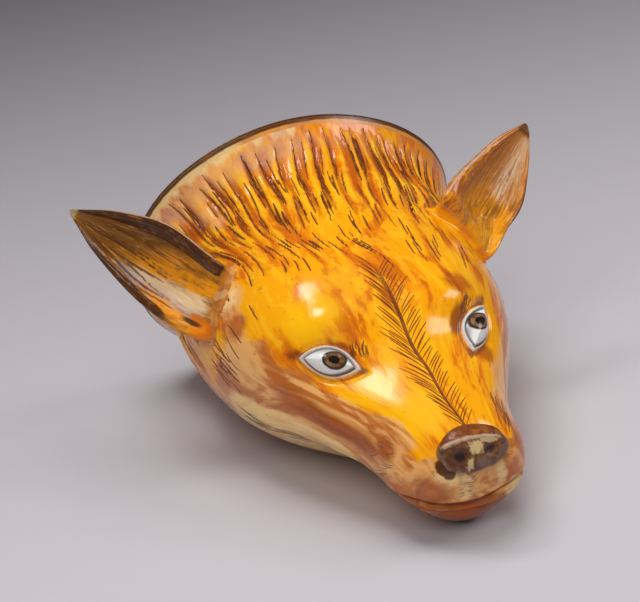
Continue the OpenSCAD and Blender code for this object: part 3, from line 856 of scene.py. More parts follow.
# %% [markdown]
# ## Things that are drawn along a path
# Two things here are a section carried along a path: the roll of clay that the potter smoothed over the
# seam inside the cup, and the thin strokes of the brush. One Geometry Nodes tree makes both. It reads a mesh
# of edges, turns them into curves with the stored normals, and sweeps a ring of the stored width along
# them. The lower the flatness, the flatter the body lies on the skin. The roll's ends are smoothed into the
# wall: there it gets thinner and sinks.

# %% The sweeping tree
def sweep_tree(name, sides, flatness, material):
    tree = bpy.data.node_groups.new(name, "GeometryNodeTree")
    tree.interface.new_socket("Paths", in_out="INPUT", socket_type="NodeSocketGeometry")
    sides_in = tree.interface.new_socket("Sides", in_out="INPUT", socket_type="NodeSocketInt")
    flat_in = tree.interface.new_socket("Flatness", in_out="INPUT", socket_type="NodeSocketFloat")
    tree.interface.new_socket("Strokes", in_out="OUTPUT", socket_type="NodeSocketGeometry")
    start, named = Field(tree), "GeometryNodeInputNamedAttribute"
    paths, ring_sides, flat = [start.node("NodeGroupInput", out=key) for key in ("Paths", "Sides", "Flatness")]
    normal = start.node(named, {"data_type": "FLOAT_VECTOR"}, {"Name": "stroke_normal"})
    width = start.node(named, None, {"Name": "stroke_width"})
    curves = start.node("GeometryNodeMeshToCurve", None, {"Mesh": paths})
    facing = start.node("GeometryNodeSetCurveNormal", {"mode": "FREE"}, {"Curve": curves, "Normal": normal})
    squash = start.node("ShaderNodeCombineXYZ", None, {"X": flat, "Y": 1.0, "Z": 1.0})
    ring = start.node("GeometryNodeCurvePrimitiveCircle", None, {"Resolution": ring_sides, "Radius": 1.0})
    flat_ring = start.node("GeometryNodeTransform", None, {"Geometry": ring, "Scale": squash})
    swept = start.node("GeometryNodeCurveToMesh", None, {
        "Curve": facing, "Profile Curve": flat_ring, "Scale": width, "Fill Caps": True})
    whole = start.node("GeometryNodeRealizeInstances", None, {"Geometry": swept})
    painted = start.node("GeometryNodeSetMaterial", None, {"Geometry": whole, "Material": material})
    start.node("NodeGroupOutput", None, {"Strokes": painted})
    return tree, {sides_in.identifier: sides, flat_in.identifier: flatness}


def sweep(name, strokes, sides, flatness, material):
    """Each stroke is points, normals and widths in metres, and a tone. Returns a plain mesh object."""
    points = np.concatenate([s[0] for s in strokes])
    starts = np.cumsum([0] + [len(s[0]) for s in strokes])
    edges = [(k, k + 1) for a, b in zip(starts[:-1], starts[1:]) for k in range(a, b - 1)]
    mesh = bpy.data.meshes.new(name)
    mesh.from_pydata(points, edges, [])
    stored = (("stroke_normal", "FLOAT_VECTOR", "vector"), ("stroke_width", "FLOAT", "value"),
              ("stroke_tone", "FLOAT", "value"))
    for column, (key, kind, part) in enumerate(stored, 1):
        data = np.concatenate([s[column] for s in strokes]).astype(np.float32).ravel()
        mesh.attributes.new(key, kind, "POINT").data.foreach_set(part, data)
    piece = into_scene(name, mesh)
    tree, sizes = sweep_tree(name, sides, flatness, material)
    modifier = piece.modifiers.new("sweep", "NODES")
    modifier.node_group = tree
    for identifier, value in sizes.items():
        modifier[identifier] = value
    seen = piece.evaluated_get(bpy.context.evaluated_depsgraph_get())
    plain_mesh = bpy.data.meshes.new_from_object(seen)
    piece.modifiers.remove(modifier)
    piece.data = plain_mesh
    plain_mesh.shade_smooth()
    bpy.data.node_groups.remove(tree)
    print(name, len(strokes), "paths,", len(plain_mesh.polygons), "faces")
    return piece


print("sweeping tree ready")


# %% Inside glaze and the seam roll
ROLL_STEP, ROLL_SIDES, ROLL_FLATNESS, ROLL_SINK = 0.8, 32, 0.7, 0.66


@glazed
def inside_glaze(start, place):
    blot, fleck = noise(place, 150, 5, 0.62, 0.9), noise(place, 700, 3)
    body = coats(colour(238, 202, 140), (colour(244, 208, 146), blot.between(0.4, 0.6)),
                 (colour(206, 158, 96), fleck.between(0.62, 0.74) * 0.4))
    return body, 0.4 + blot * 0.1, blot, 0.02, 0.1


roll_runs = evenly(inner_first, 2, ROLL_STEP, lambda r: plain(r, 90, wall))[1:-1]
bed = np.concatenate([plain(roll_runs, -90, wall), plain(np.array([2.0]), 90, wall), plain(roll_runs[::-1], 90, wall)])
ahead = unit(np.gradient(bed, axis=0))
inwards = np.stack([0 * ahead[:, 0], ahead[:, 2], -ahead[:, 1]], -1)
share = np.linspace(0, 1, len(bed))
ends = smooth(0, 0.1, share) * smooth(0, 0.1, 1 - share)
roll_half = roll_d * 0.6 * (0.5 + 0.5 * ends) * (1 + 0.05 * np.sin(share * 17))
middle = bed + inwards * (roll_half * (ends - ROLL_SINK))[:, None]
roll = [(lay(middle), turn(inwards), roll_half * MM, np.zeros(len(middle)))]
seam_roll = sweep("seam_roll_glazed", roll, ROLL_SIDES, ROLL_FLATNESS, inside_glaze)
settle(seam_roll, "seam_roll", inside_glaze)

# %% [markdown]
# ## Ears
# The ears were modelled apart: pointed leaves, hollowed at the front, with a thick rolled upper edge and a
# small pocket low on the outer edge. Fine lines run from the root to the tip. An ear is a stack of closed
# rings from its root on the head to its tip. The left and right ears are mirror images in the solids. By
# hand they came out uneven: one is a little longer, and each root is narrowed at another end. The colours
# differ too: the right ear has dark edges, the left one an amber upper edge and a brown lower one.

# %% Ear form
ear_l, ear_w, ear_t, root_t, ear_cup = 38, 22, 3.4, 9, 5
ear_at, ear_lift, ear_sweep, ear_turn = 32, radians(24), radians(43), radians(-25)
ear_run, root_slant, fillet = run_at(s_nape + 4), radians(30), 2
ear_leaf = [(0, 0.94), (0.2, 1), (0.4, 0.92), (0.6, 0.73), (0.8, 0.46), (0.93, 0.2), (1, 0.06)]
ear_dir = np.array([cos(ear_sweep) * cos(ear_lift), cos(ear_sweep) * sin(ear_lift), -sin(ear_sweep)])
ear_flat = np.array([-sin(ear_lift), cos(ear_lift), 0])
ear_across = cos(ear_turn) * ear_flat + sin(ear_turn) * np.cross(ear_dir, ear_flat)
ear_front = np.cross(ear_dir, ear_across)
root_mm = mm_per_degree(ear_run, ear_at)
ear_foot = skin(np.array(ear_run), ear_at)
EAR_ROWS, EAR_COLS = 150, 200
# For each ear: hand, length, how much the upper and the lower half of the root are narrowed, and a seed
ear_kinds = {"left": (1, 0.95, (-0.12, 0.4), 3), "right": (-1, 1.05, (0.3, 0.0), 5)}


def narrow(a, slim):
    return 1 - slim[0] * smooth(-0.3, 0.7, np.cos(a)) - slim[1] * smooth(-0.3, 0.7, -np.cos(a))


def root_point(a, grow, lift, slim):
    p = (ear_w / 2 * narrow(a, slim) + grow) * np.cos(a)
    q = (root_t / 2 * (1 - 0.65 * smooth(-0.2, 0.8, np.sin(a))) + grow) * np.sin(a)
    ds = q * cos(root_slant) - p * sin(root_slant)
    df = (p * cos(root_slant) + q * sin(root_slant)) / root_mm
    return skin(ear_run + run_at(ds), ear_at + df, lift + 0 * a)


def ear_relief(c, v):
    """Thick upper edge, a thinner lower edge and the grooves inside them, on the hollow side."""
    body = window(v, 0.05, 0.2, 0.9, 1.0)
    roll = 1.2 * bump(c, 0.8, 0.17) - 0.6 * bump(c, 0.46, 0.14)
    low = 0.55 * bump(c, -0.9, 0.08) - 0.3 * bump(c, -0.7, 0.1)
    return body * (roll + low)


def ear_bowl(c, v):
    """The hollow runs down to the head, with a small pocket at its outer end."""
    return -2.4 * bump(c, -0.2, 0.55) * bump(v, 0.2, 0.12) - 1.2 * bump(c, -0.66, 0.16) * bump(v, 0.13, 0.06)


def ear_point(a, v, kind, cut=0.0):
    _, stretch, slim, _ = kind
    b = ear_w / 2 * curve(ear_leaf, v)
    hollow = ear_cup * smooth(0, 0.35, v) * b / ear_w * 2
    t = ear_t + (root_t - ear_t) * (1 - v) ** 3
    front = np.maximum(np.sin(a), 0) ** 0.5
    q = (np.sign(np.sin(a)) * np.minimum(t / 2, b) * np.sqrt(np.abs(np.sin(a))) - hollow * np.sin(a) ** 2
         + front * (ear_relief(np.cos(a), v) * np.minimum(1, b / 6) + cut))
    fade = 1 - smooth(0.1, 0.6, v)
    side = b * np.cos(a) * narrow(a, (slim[0] * fade, slim[1] * fade))
    leaf = (ear_foot + ear_dir * (ear_l * stretch * v)[..., None] + ear_across * side[..., None]
            + ear_front * q[..., None])
    w = smooth(0, 0.3, v)[..., None]
    bowl = ear_front * (front * ear_bowl(np.cos(a), v))[..., None]
    return (1 - w) * root_point(a, 0, lute_gap + v * ear_l * 0.7, slim) + w * leaf + bowl


print("ear length", ear_l, "mm, points", EAR_ROWS * EAR_COLS)

# %% Ear carving and colours
FRONT_HAIRS, BACK_HAIRS = 26, 18
ear_v = np.linspace(0, 1, EAR_ROWS + 1)[:, None] ** 1.1
ear_a = 2 * pi * np.arange(EAR_COLS)[None, :] / EAR_COLS
EV, EA = np.broadcast_arrays(ear_v, ear_a)


def ear_piece(name, kind):
    hand, stretch, _, seed = kind
    is_left, is_right = hand > 0, hand < 0
    toss = np.random.default_rng(seed)
    lines = Grooves()
    for c in np.linspace(-0.8, 0.72, FRONT_HAIRS):
        start, stop = toss.uniform(0.16, 0.34) - 0.1 * is_left, toss.uniform(0.7, 0.97)
        v = np.linspace(start, stop, 90)
        a = np.arccos(np.clip(c + 0.05 * np.sin(v * 9 + toss.uniform(0, 6)) + toss.uniform(-0.02, 0.02), -0.98, 0.98))
        lines.add(ear_point(a, v, kind), toss.uniform(0.28, 0.45), toss.uniform(0.12, 0.3), toss.uniform(0.2, 1.0))
    for c in np.linspace(-0.85, 0.85, BACK_HAIRS):
        v = np.linspace(toss.uniform(0.2, 0.35), toss.uniform(0.6, 0.9), 80)
        a = -np.arccos(np.clip(c + 0.05 * np.sin(v * 8 + toss.uniform(0, 6)), -0.98, 0.98))
        lines.add(ear_point(a, v, kind), 0.4, toss.uniform(0.1, 0.25), toss.uniform(0.1, 0.7))
    base = ear_point(EA, EV, kind)
    cut, ink = [x.reshape(EV.shape) for x in lines.cut(base.reshape(-1, 3))]
    rings = ear_point(EA, EV, kind, cut) + ear_front * (np.where(np.sin(EA) < 0, -cut, 0))[..., None]
    across, front = np.cos(EA), smooth(-0.05, 0.1, np.sin(EA))
    upper = smooth(0.5, 0.64, across) * smooth(0.04, 0.14, EV)
    lower = (1 - smooth(-0.88, -0.7, across + 0.08 * is_left)) * smooth(0.16, 0.32, EV)
    # the pale streak in the hollow of each ear is a painted highlight
    if is_left:
        highlight_side = bump(across + 0.3 * (EV - 0.6), -0.4, 0.5) * window(EV, 0.34, 0.5, 0.88, 0.98)
    else:
        highlight_side = bump(across + 0.5 * (EV - 0.3), -0.45, 0.3) * window(EV, 0.03, 0.14, 0.45, 0.8)
    lobe = bump(across, -0.85, 0.25) * bump(EV, 0.05, 0.09) + 0.9 * bump(across, -0.58, 0.09) * bump(EV, 0.12, 0.045)
    dark_side = (1 - smooth(-0.97, -0.86, across)) * smooth(0.22, 0.4, EV)
    values = {"ink": ink, "edge": np.maximum(upper, 0.9 * lower), "hollow": front, "streak": front * highlight_side,
              "tip": smooth(0.92, 1.0, EV) * is_right,
              "far_line": np.maximum(dark_side, smooth(0.86, 0.98, EV)) * is_left,
              # the pocket is painted near-black, a painted shade in the hollow
              "pocket": front * bump(across, -0.71, 0.07) * bump(EV, 0.14, 0.06) * is_right,
              "lobe": front * lobe * is_right, "root": 1 - smooth(0.0, 0.12, EV), "red": 0 * EV + is_left,
              # a pale line along the outer edge of the upper roll, a painted highlight
              "edge_highlight": bump(across, 0.985, 0.02) * smooth(0.1, 0.2, EV),
              "ear_across": across * 10, "ear_along": EV * ear_l}
    foot = skin(np.array(ear_run), ear_at, -0.6)
    end = ear_foot + ear_dir * (ear_l * stretch + 0.5)
    points = np.concatenate([rings.reshape(-1, 3), foot[None], end[None]])
    points[:, 0] *= hand
    loop = list(range(EAR_COLS)) + [0]
    faces = grid_faces(EAR_ROWS + 1, EAR_COLS, ring=True, flip=is_right)
    faces += fan_faces(loop, len(points) - 2, flip=is_left)
    faces += fan_faces([EAR_ROWS * EAR_COLS + k for k in loop], len(points) - 1, flip=is_right)
    ends = {"edge": (0, 1), "tip": (0, is_right), "far_line": (0, is_left), "root": (1, 0), "ear_along": (0, ear_l)}
    return make_mesh(name, lay(points), faces,
                     {k: np.concatenate([v.ravel(), ends.get(k, (0, 0))]) for k, v in values.items()})


ears = {side + "_ear": ear_piece(side + "_ear_glazed", kind) for side, kind in ear_kinds.items()}
print("ear faces", [len(piece.data.polygons) for piece in ears.values()])


# %% Ear finish
def slip_body(start, place):
    """The smeared colours round the root of an ear: tan and cream on the right one, amber on the left one."""
    cloud, blot = noise(place, 90, 4, 0.6, 0.8), noise(place, 220, 5, 0.62, 0.9)
    clouded = cloud.between(0.44, 0.6) * 0.8
    amber_slip = over(colour(250, 164, 6), colour(228, 122, 10), clouded)
    return coats(
        colour(212, 142, 68), (colour(174, 98, 40), clouded),
        (colour(234, 190, 124), blot.between(0.54, 0.64) * 0.6), (amber_slip, start["red"]),
        (colour(158, 78, 26), (1 - blot).between(0.54, 0.66) * 0.55))


@glazed
def ear_glaze(start, place):
    across, along, red = start["ear_across"], start["ear_along"], start["red"]
    flat = start.node("ShaderNodeCombineXYZ", None, {0: across, 1: along * 0.2})
    streak, hairs = noise(flat, 0.4, 4, 0.6, 0.5), noise(flat, 1.3, 3, 0.6, 0.3)
    blot, fleck = noise(place, 190, 5, 0.62, 0.8), noise(place, 640, 3)
    shadow = over(colour(120, 74, 26), colour(190, 118, 54), red)
    inner = coats(
        colour(242, 152, 16),
        (colour(142, 88, 28), (streak * 0.7 + blot * 0.3).between(0.44, 0.58) * 0.85),
        (shadow, (along.between(9, 30) + across.between(-2, 6) * 0.7 + streak - 0.5).between(0.2, 1.0) * 0.9),
        (colour(246, 172, 38),
         (red * (1.1 - along * 0.05 - across.between(-2, 4)) + (hairs - 0.5) * 2.2).between(0.2, 1.1) * 0.7),
        (colour(232, 176, 84), hairs.between(0.56, 0.66) * 0.5))
    # painted highlight for the streak, with a painted grey-lilac reflection along its lower side
    pink_highlight = over(colour(240, 202, 162), colour(220, 152, 84), streak.between(0.44, 0.62))
    painted_highlight = coats(colour(232, 200, 152), (colour(194, 176, 172), (0 - across).between(3.5, 7)), (pink_highlight, red))
    amber_edge = over(colour(170, 92, 22), colour(230, 142, 26), hairs.between(0.46, 0.6))
    edge = coats(colour(66, 36, 18), (amber_edge, red),
                 (colour(132, 78, 34), (hairs * 0.5 + fleck * 0.5).between(0.5, 0.64) * 0.8))
    body = coats(
        colour(230, 126, 14),
        (colour(196, 112, 26), blot.between(0.4, 0.6)),
        (inner, start["hollow"]),
        (slip_body(start, place), broken(start["root"], blot, 0.2, 0.8, 0.8)),
        # painted highlight: the pale streak in the hollow
        (painted_highlight, broken(start["streak"], hairs * 0.7 + streak * 0.3, 0.25, 1.05, 2.4) * 0.92),
        (colour(232, 124, 10), broken(start["lobe"], blot, 0.3, 0.6, 0.4) * 0.9),
        (colour(92, 54, 26), (start["ink"] * (1 - red * 0.35) * (0.4 + hairs)).between(0.12, 0.6) * 0.85),
        (edge, broken(start["edge"], streak, 0.35, 0.6, 0.5) * 0.95),
        (colour(96, 54, 20), broken(start["far_line"], streak, 0.35, 0.75, 0.7) * 0.85),
        # painted highlight along the upper edge of the ear
        (colour(214, 176, 140), broken(start["edge_highlight"], hairs, 0.4, 0.8, 0.6) * 0.7),
        (colour(170, 152, 110), broken(start["tip"], fleck, 0.5, 0.8, 0.8) * 0.8),
        # painted shade: the small pocket near-black
        (colour(60, 32, 18), start["pocket"].between(0.3, 0.8) * 0.9))
    return body, 0.1 + blot * 0.14, hairs + fleck * 0.3, 0.2, 0.35


for node, piece in ears.items():
    settle(piece, node, ear_glaze)

# %% [markdown]
# ## Slip round the ears
# The corner between an ear and the head is filled with slip, smeared out with a wet finger. It is a hollow
# fillet with an uneven foot, carried round the root, in the same smeared colours as the root of its ear.

# %% Ear fillets
FILLET_COLS, FILLET_STEPS, FILLET_TOP = 120, 9, 0.035


def fillet_piece(name, kind):
    hand, _, slim, _ = kind
    a = 2 * pi * np.arange(FILLET_COLS) / FILLET_COLS
    smear = fillet * (1.5 + 0.5 * np.sin(5 * a + 0.6) + 0.3 * np.sin(11 * a + 2))
    foot, corner = root_point(a, smear, -0.3, slim), root_point(a, 0.0, -0.1, slim)
    v = np.full(FILLET_COLS, FILLET_TOP)
    top = ear_point(a, v, kind)
    middle_line = (ear_point(0 * a, v, kind) + ear_point(0 * a + pi, v, kind)) / 2
    top = top - unit(top - middle_line) * 0.1
    t = np.linspace(0, 1, FILLET_STEPS)[None, :, None]
    curve_points = (1 - t) ** 2 * foot[:, None] + 2 * t * (1 - t) * corner[:, None] + t ** 2 * top[:, None]
    under = root_point(a, -0.6, -0.3, slim)
    rings = np.concatenate([curve_points, under[:, None]], 1)
    rings[..., 0] *= hand
    faces = loop_faces(FILLET_COLS, FILLET_STEPS + 1, flip=hand > 0)
    return make_mesh(name, lay(rings), faces, {"red": np.full(rings.shape[:2], hand > 0)})


@glazed
def ear_lute_glaze(start, place):
    blot, fleck = noise(place, 220, 5, 0.62, 0.9), noise(place, 600, 3)
    return slip_body(start, place), 0.1 + blot * 0.12, blot + fleck * 0.3, 0.2, 0.35


for side, kind in ear_kinds.items():
    settle(fillet_piece(side + "_ear_lute_glazed", kind), side + "_ear_lute", ear_lute_glaze)

# %% [markdown]
# ## Eyes
# The eyes are almond pellets of white clay with a painted iris, under clear glaze. The dome is a polar net
# over the almond. Each point stores how far it is from the middle of the iris and of the eye, and how high
# under the lid, so the painter's rings and the shade of the lid come from three numbers.

# %% Eyes
EYE_RINGS, EYE_COLS = 34, 96
FAR_FROM_IRIS = 9.0
eye_rise, eye_edge, eye_sink, iris_r = 2.0, 0.8, 0.4, 2.35


def on_eye(q, a, place, lift=0.0):
    """Points on the left side of the head, at a share and an angle of an almond, and where on the eye they are."""
    _, slant, shift, _, _ = place
    p, w = q * eye_l / 2 * np.cos(a), q * eye_h / 2 * np.sin(a) * np.abs(np.sin(a))
    s, k, high = sin(radians(slant)), cos(radians(slant)), w + shift
    return skin(eye_run + run_at(p * k - high * s), eye_phi + (p * s + high * k) / eye_mm, lift), p, w


def polar_net(rings, cols):
    return np.meshgrid(np.arange(1, rings + 1) / rings, 2 * pi * np.arange(cols) / cols, indexing="ij")


def pad_mesh(name, dome, under, middles, values, hand, flip):
    """A closed pad: rings of the dome, rings of its underside and the two middle points.
    The value under the pad and the value on top of its middle come with each stored value."""
    rings, cols = dome.shape[:2]
    half, loop = rings * cols, list(range(cols)) + [0]
    points = np.concatenate([dome.reshape(-1, 3), under.reshape(-1, 3), *middles])
    points[:, 0] *= hand
    faces = grid_faces(rings, cols, ring=True, flip=flip) + fan_faces(loop, 2 * half, flip=not flip)
    faces += grid_faces(rings, cols, first=half, ring=True, flip=not flip)
    faces += fan_faces([half + k for k in loop], 2 * half + 1, flip=flip)
    top, low = half - cols, 2 * half - cols
    walls = [[top + k, top + (k + 1) % cols, low + (k + 1) % cols, low + k] for k in range(cols)]
    faces += [f[::-1] for f in walls] if flip else walls
    stored = {key: np.concatenate([v.ravel(), np.full(half, below), [centre, below]])
              for key, (v, below, centre) in values.items()}
    return make_mesh(name, lay(points), faces, stored)


def eye_piece(name, place):
    hand, _, _, iris_p, iris_w = place
    q, a = polar_net(EYE_RINGS, EYE_COLS)
    nought, high, low = np.zeros(1), lute_gap + eye_edge, lute_gap - eye_sink
    dome, p, w = on_eye(q, a, place, high + eye_rise * (1 - q * q))
    under = on_eye(q, a, place, low + 0 * q)[0]
    middles = [on_eye(nought, nought, place, lift + nought)[0] for lift in (high + eye_rise, low)]
    values = {"from_iris": (np.hypot(p - iris_p, w - iris_w), FAR_FROM_IRIS, np.hypot(iris_p, iris_w)),
              "from_middle": (q, 1.0, 0.0), "lid_shade": (np.sin(a) * q, 0.0, 0.0)}
    return pad_mesh(name, dome, under, middles, values, hand, hand < 0)


@glazed
def eye_glaze(start, place):
    blot = noise(place, 600, 4)
    wobble = start["from_iris"] + (blot - 0.5) * 0.5
    iris = over(colour(96, 62, 38), colour(150, 112, 76), blot.between(0.42, 0.62))
    ring = (1 - wobble.between(iris_r - 0.1, iris_r + 0.25)) * wobble.between(iris_r - 0.6, iris_r - 0.25)
    body = coats(
        colour(228, 228, 224),
        (colour(190, 188, 184), blot.between(0.5, 0.75) * 0.5),
        (colour(86, 76, 70), start["from_middle"].between(0.88, 0.98) * 0.85),
        (colour(128, 120, 112), start["lid_shade"].between(0.45, 0.85) * 0.6),
        (iris, 1 - wobble.between(iris_r - 0.15, iris_r + 0.05)),
        (colour(56, 42, 34), ring),
        (colour(30, 20, 16), 1 - wobble.between(0.95, 1.25)))
    return body, 0.12 + blot * 0.1, blot, 0.05, 0.25


for name, place in eye_places.items():
    settle(eye_piece(name + "_glazed", place), name, eye_glaze)

# %% [markdown]
# ## Nose
# The nose is an oval pad of dark clay on the end of the muzzle, stuck on a little tilted and flatter along its
# lower edge. It has a fold over the top, two nostrils and a worn patch between them where the glaze has
# rubbed thin. It is a polar net like the eyes, with the nostrils pressed in and the fold raised.

# %% Nose pad
NOSE_RINGS, NOSE_COLS = 64, 160
nose_half, nose_rise, nose_edge = 33, 3.6, 1.6
nose_sink, pad_run, pad_reach, pad_skew, pad_tilt = 0.5, 1.5, 0.31, -9, 0.2


def nose_piece():
    q, a = polar_net(NOSE_RINGS, NOSE_COLS)

    def point(q, a, lift):
        reach = q * (1 + 0.03 * np.sin(3 * a + 1) + 0.02 * np.sin(7 * a))
        low = 1 - 0.15 * smooth(0.2, 1.0, -q * np.sin(a))
        phi = 90 - nose_half * reach * np.cos(a) + pad_skew * reach * np.sin(a)
        return skin(pad_run - pad_reach * reach * (low * np.sin(a) - pad_tilt * np.cos(a)), phi, lift)

    x, y = q * np.cos(a), q * np.sin(a)
    fold = y - 0.1 * x - 0.33
    ridge = bump(fold, 0, 0.12) * window(x, -0.95, -0.7, 0.45, 0.75)
    pits = np.maximum(bump(x + 0.15 * (y + 0.25), -0.4, 0.19) * bump(y, -0.22, 0.24),
                      0.8 * bump(x, 0.36, 0.17) * bump(y - 0.3 * (x - 0.36), -0.06, 0.22))
    cleft = bump(x, -0.1, 0.07) * (1 - smooth(-0.5, -0.1, y))
    lift = nose_edge + (nose_rise - nose_edge) * np.maximum(1 - q ** 2.4, 0) ** 0.8
    lift = lift - 1.3 * pits - 0.4 * cleft + 0.4 * ridge + 0.1 * np.sin(9 * x + 2) * np.sin(8 * y)
    lift = lift - nose_edge * 0.8 * smooth(0.93, 1.0, q)
    dome, under = point(q, a, lute_gap + lift), point(q, a, -nose_sink + 0 * q)
    nought = np.zeros(1)
    middles = [point(nought, nought, top + nought) for top in (lute_gap + nose_rise, -nose_sink)]
    worn = np.max([bump(x, 0, 0.17) * bump(y, 0, 0.26), bump(x, 0.25, 0.24) * bump(y - 0.1 * x, 0.22, 0.1),
                   0.8 * bump(x, -0.13, 0.1) * bump(y, -0.6, 0.35)], 0)
    # grey: patches on the sides and the front of the pad, a painted reflection
    grey = np.max([bump(x, 0.3, 0.26) * bump(y, -0.55, 0.3), 0.7 * bump(x, 0.72, 0.16) * bump(y, 0, 0.35),
                   0.8 * bump(x, -0.5, 0.25) * bump(y, -0.8, 0.15), 0.8 * (1 - smooth(-0.92, -0.75, x + 0.2 * y))], 0)
    # the ridge of the fold is also painted pale, a painted highlight
    paints = {"pit": pits, "ridge": ridge, "top": smooth(0.0, 0.15, fold), "worn": worn, "grey": grey}
    values = {key: (v, 0.0, v[0, 0]) for key, v in paints.items()}
    return pad_mesh("nose_pad_glazed", dome, under, middles, values, 1, True)


@glazed
def nose_glaze(start, place):
    blot, fleck, grit = noise(place, 420, 5, 0.65, 0.8), noise(place, 900, 3), noise(place, 2000, 3)
    pit, sand = start["pit"], fleck * 0.5 + grit * 0.5
    fold = over(colour(112, 56, 22), colour(150, 86, 36), blot.between(0.4, 0.62))
    body = coats(
        colour(92, 54, 32),
        (colour(124, 82, 52), blot.between(0.42, 0.62)),
        (fold, start["top"]),
        # painted reflection: grey patches on the pad
        (colour(124, 104, 90), broken(start["grey"], blot * 0.5 + fleck * 0.5, 0.3, 0.9, 1.4) * 0.65),
        # painted shade: the nostrils darker
        (colour(86, 50, 30), pit.between(0.15, 0.5) * 0.8),
        (colour(210, 182, 128), broken(start["worn"], sand, 0.25, 0.6, 1.8) * 0.9),
        # painted highlight: a pale line along the ridge of the fold
        (colour(198, 164, 134), broken(start["ridge"], sand, 0.35, 1.0, 1.6) * 0.8),
        # painted shade: near-black deep in the nostrils
        (colour(50, 30, 24), (pit + (blot - 0.5) * 0.3).between(0.38, 0.75)))
    return body, 0.16 + blot * 0.2 + pit * 0.3, blot + fleck * 0.6, 0.16, 0.5


settle(nose_piece(), "nose_pad", nose_glaze)

# %% [markdown]
# ## Brush strokes
# Last, the painter drew the fine hair with a thin brush: a line in each of the deeper grooves, a dark line
# from the forehead down to the nose with barbs on both sides like a feather, whiskers, lashes, strokes
# along the jaw and a grey line over each eye. Each stroke is a path on the carved skin, and the sweeping
# tree gives it its flat, tapered body.

# %% Stroke paths
STROKE_LIFT, STROKE_SIDES, STROKE_FLATNESS = 0.02, 4, 0.16
LEAST_INK = 0.4
flat_carved, flat_carved_normals = carved.reshape(-1, 3), carved_normals.reshape(-1, 3)
strokes = []
pen = np.random.default_rng(21)


def stroke(points, width, ends=0.6, tone=0.0):
    on_skin, n = onto(points, carved_tree, flat_carved, flat_carved_normals)
    body = width * MM * (0.35 + 0.65 * taper(len(points), ends))
    strokes.append((lay(on_skin + n * STROKE_LIFT), turn(n), body, np.full(len(points), tone)))


for path, ink in zip(hair.points, hair.ink):
    if ink.max() > LEAST_INK:
        stroke(path[::4], 0.1 + 0.2 * ink.max(), 0.5, pen.uniform(0.1, 0.75))
print("lines in the grooves:", len(strokes))

spine = through([(0.2, 35, 54), (0.6, 34, 62), (0.7, 32.5, 69), (0.4, 30.9, 77), (0.9, 30.2, 85), (0.3, 29.9, 93),
                 (0.8, 28.8, 100), (1.2, 27.6, 103.5)], 0.4)
for offset in (-0.35, 0.0, 0.3):
    keep = spine[int(pen.uniform(0, 8)):len(spine) - int(pen.uniform(0, 3))]
    stroke(keep + np.array([offset, 0, 0]) * np.linspace(1, 0.4, len(keep))[:, None], 0.17)
for i in range(4, len(spine) - 2, 3):
    for side in (-1, 1):
        share = i / len(spine)
        long = pen.uniform(3.5, 6.5) * (0.7 + 0.5 * np.sin(pi * share)) * (1.35 if side < 0 else 1.0)
        splay = radians(pen.uniform(16, 26) if side < 0 else pen.uniform(32, 44))
        t = np.linspace(0, 1, 14)[:, None]
        way = np.array([side * sin(splay), 0, -cos(splay)])
        bend = np.array([side * 0.12 * long, 0, 0]) * t ** 2
        start = spine[i] + np.array([side * pen.uniform(0.1, 0.7), 0, pen.uniform(-0.4, 0.4)])
        stroke(start + way * long * t + bend, pen.uniform(0.1, 0.15))
print("strokes of the feather line:", len(strokes))

# %% Whiskers, lashes and jaw strokes
BROWN, DARK, GREY = 0, 0.5, 2
EYE_LINE_AT, EYE_LINE_WIDTH = 1.44, 0.16


def short_strokes(middle, reach, count, way, long, width, bend, tone):
    middle, way = np.array(middle, float), unit(np.array(way, float))
    side = unit(np.cross(way, flat_carved_normals[carved_tree.find(middle)[1]]))
    t = np.linspace(-0.5, 0.5, 12)[:, None]
    for _ in range(count):
        start = middle + way * pen.uniform(-1, 1) * reach[0] + side * pen.uniform(-1, 1) * reach[1]
        length = long * pen.uniform(0.6, 1.25)
        turned = unit(way + side * pen.uniform(-0.25, 0.25))
        bent = side * bend * length * (t * t - 0.1)
        stroke(start + turned * length * t + bent, width * pen.uniform(0.75, 1.25), tone=tone)


# For each group: middle, reach along and across, count, way, length, width, bend and tone
groups = [((-15, 21, 99), (5.0, 4.0), 12, (0.1, -0.6, -0.8), 3.6, 0.08, 0.25, GREY),
          ((11.5, 25, 98), (4.0, 2.2), 14, (0.05, -0.1, -1), 4.5, 0.16, 0.25, BROWN)]
groups += [((hand * 28, 4.5, 68), (9, 2.0), 30, (hand * 0.35, -0.15, -0.9), 6.0, 0.12, 0.12, GREY) for hand in (-1, 1)]
groups += [((hand * 33, 12, 51), (5, 5), 22, (hand * 0.15, -0.1, -0.98), 6.0, 0.18, 0.12, DARK) for hand in (-1, 1)]
groups += [((-10.8, 29.5, 73.4), (1.4, 2.2), 22, (0.15, 0.3, -0.9), 2.6, 0.1, 0.25, BROWN),
           ((17.2, 30, 67.9), (2.4, 1.1), 26, (0.5, 0.25, -0.8), 2.4, 0.1, 0.25, BROWN)]
for group in groups:
    short_strokes(*group)
line_at = np.radians(np.linspace(8, 172, 60))
for place in eye_places.values():
    eye_line = on_eye(EYE_LINE_AT, line_at, place)[0] * np.array([place[0], 1, 1])
    stroke(eye_line, EYE_LINE_WIDTH, 0.3, GREY)
print("all brush strokes:", len(strokes))


# %% Stroke finish
@glazed
def stroke_glaze(start, place):
    blot, tone = noise(place, 300, 4, 0.6, 0.4), start["stroke_tone"]
    body = coats(colour(132, 68, 18), (colour(84, 46, 20), tone.between(0, 1)),
                 (colour(160, 92, 24), blot.between(0.5, 0.7) * 0.7), (colour(96, 88, 84), tone.between(1.5, 2)))
    return body, 0.3 + blot * 0.15, blot, 0.04, 0.2


painted = sweep("painted_strokes", strokes, STROKE_SIDES, STROKE_FLATNESS, stroke_glaze)
settle(painted, None, stroke_glaze)
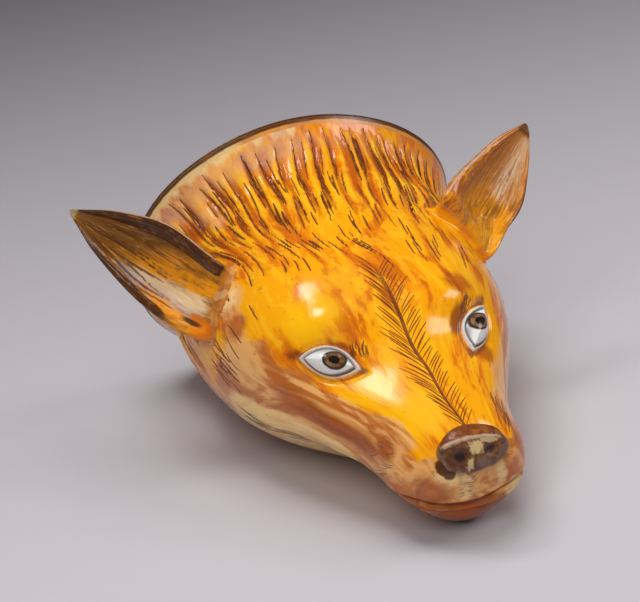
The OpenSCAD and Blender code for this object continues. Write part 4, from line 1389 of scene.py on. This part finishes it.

# %% [markdown]
# ## Table and light
# The cup lies on a plain pale table, painted darker towards the back as a falloff of the light. Glaze is
# judged by its reflections, so the light is two soft boxes that show in it, one over the cup and one to its
# left. Two broad fills, from the front and from above, give the brightness and don't show in the glaze. A weak
# light comes from all round.

# %% Table
half_floor = 3.0
corners = [(x * half_floor, y * half_floor, 0) for x, y in ((-1, -1), (1, -1), (1, 1), (-1, 1))]
floor_mesh = bpy.data.meshes.new("table")
floor_mesh.from_pydata(corners, [], [(0, 1, 2, 3)])
floor = into_scene("table", floor_mesh)
floor_material, start, place = finish_of("table_paper")
paper = noise(place, 400, 4)
far = start.node("ShaderNodeSeparateXYZ", None, {0: place}, out=1)
# painted falloff of the light: the table darker towards the back
falloff_colour = over(colour(197, 191, 196), colour(96, 93, 98), far.between(-0.1, 0.6))
paper_shader = start.node("ShaderNodeBsdfPrincipled", None, {
    "Base Color": falloff_colour, "Roughness": 0.55 + paper * 0.1, "Specular IOR Level": 0.3})
start.node("ShaderNodeOutputMaterial", None, {"Surface": paper_shader})
floor_mesh.materials.append(floor_material)
print("table", 2 * half_floor, "m wide")


# %% Light
LAMP_AIM = Vector((0, 0, 0.03))


def softbox(name, place, size, watts, mirrored=True):
    data = bpy.data.lights.new(name, "AREA")
    data.shape, data.size, data.size_y = "RECTANGLE", *size
    data.energy = watts
    lamp = into_scene(name, data)
    lamp.location = place
    lamp.rotation_euler = (LAMP_AIM - Vector(place)).to_track_quat("-Z", "Y").to_euler()
    lamp.visible_glossy = mirrored


softbox("overhead box", (-0.23, 0.2, 0.75), (0.2, 0.15), 0.9)
softbox("side box", (0.62, -0.16, 0.6), (0.3, 0.3), 1.5)
softbox("front fill", (-0.5, -0.8, 0.9), (0.7, 0.7), 6.8, mirrored=False)
softbox("top fill", (0.0, 0.1, 1.1), (0.7, 0.7), 7.0, mirrored=False)
world = bpy.data.worlds.new("studio")
world.use_nodes = True
sky = world.node_tree.nodes["Background"]
sky.inputs[0].default_value, sky.inputs[1].default_value = (0.8, 0.8, 0.82, 1), 0.11
bpy.context.scene.world = world
bpy.context.scene.view_settings.view_transform = "Standard"
print("lamps:", len(bpy.data.lights))
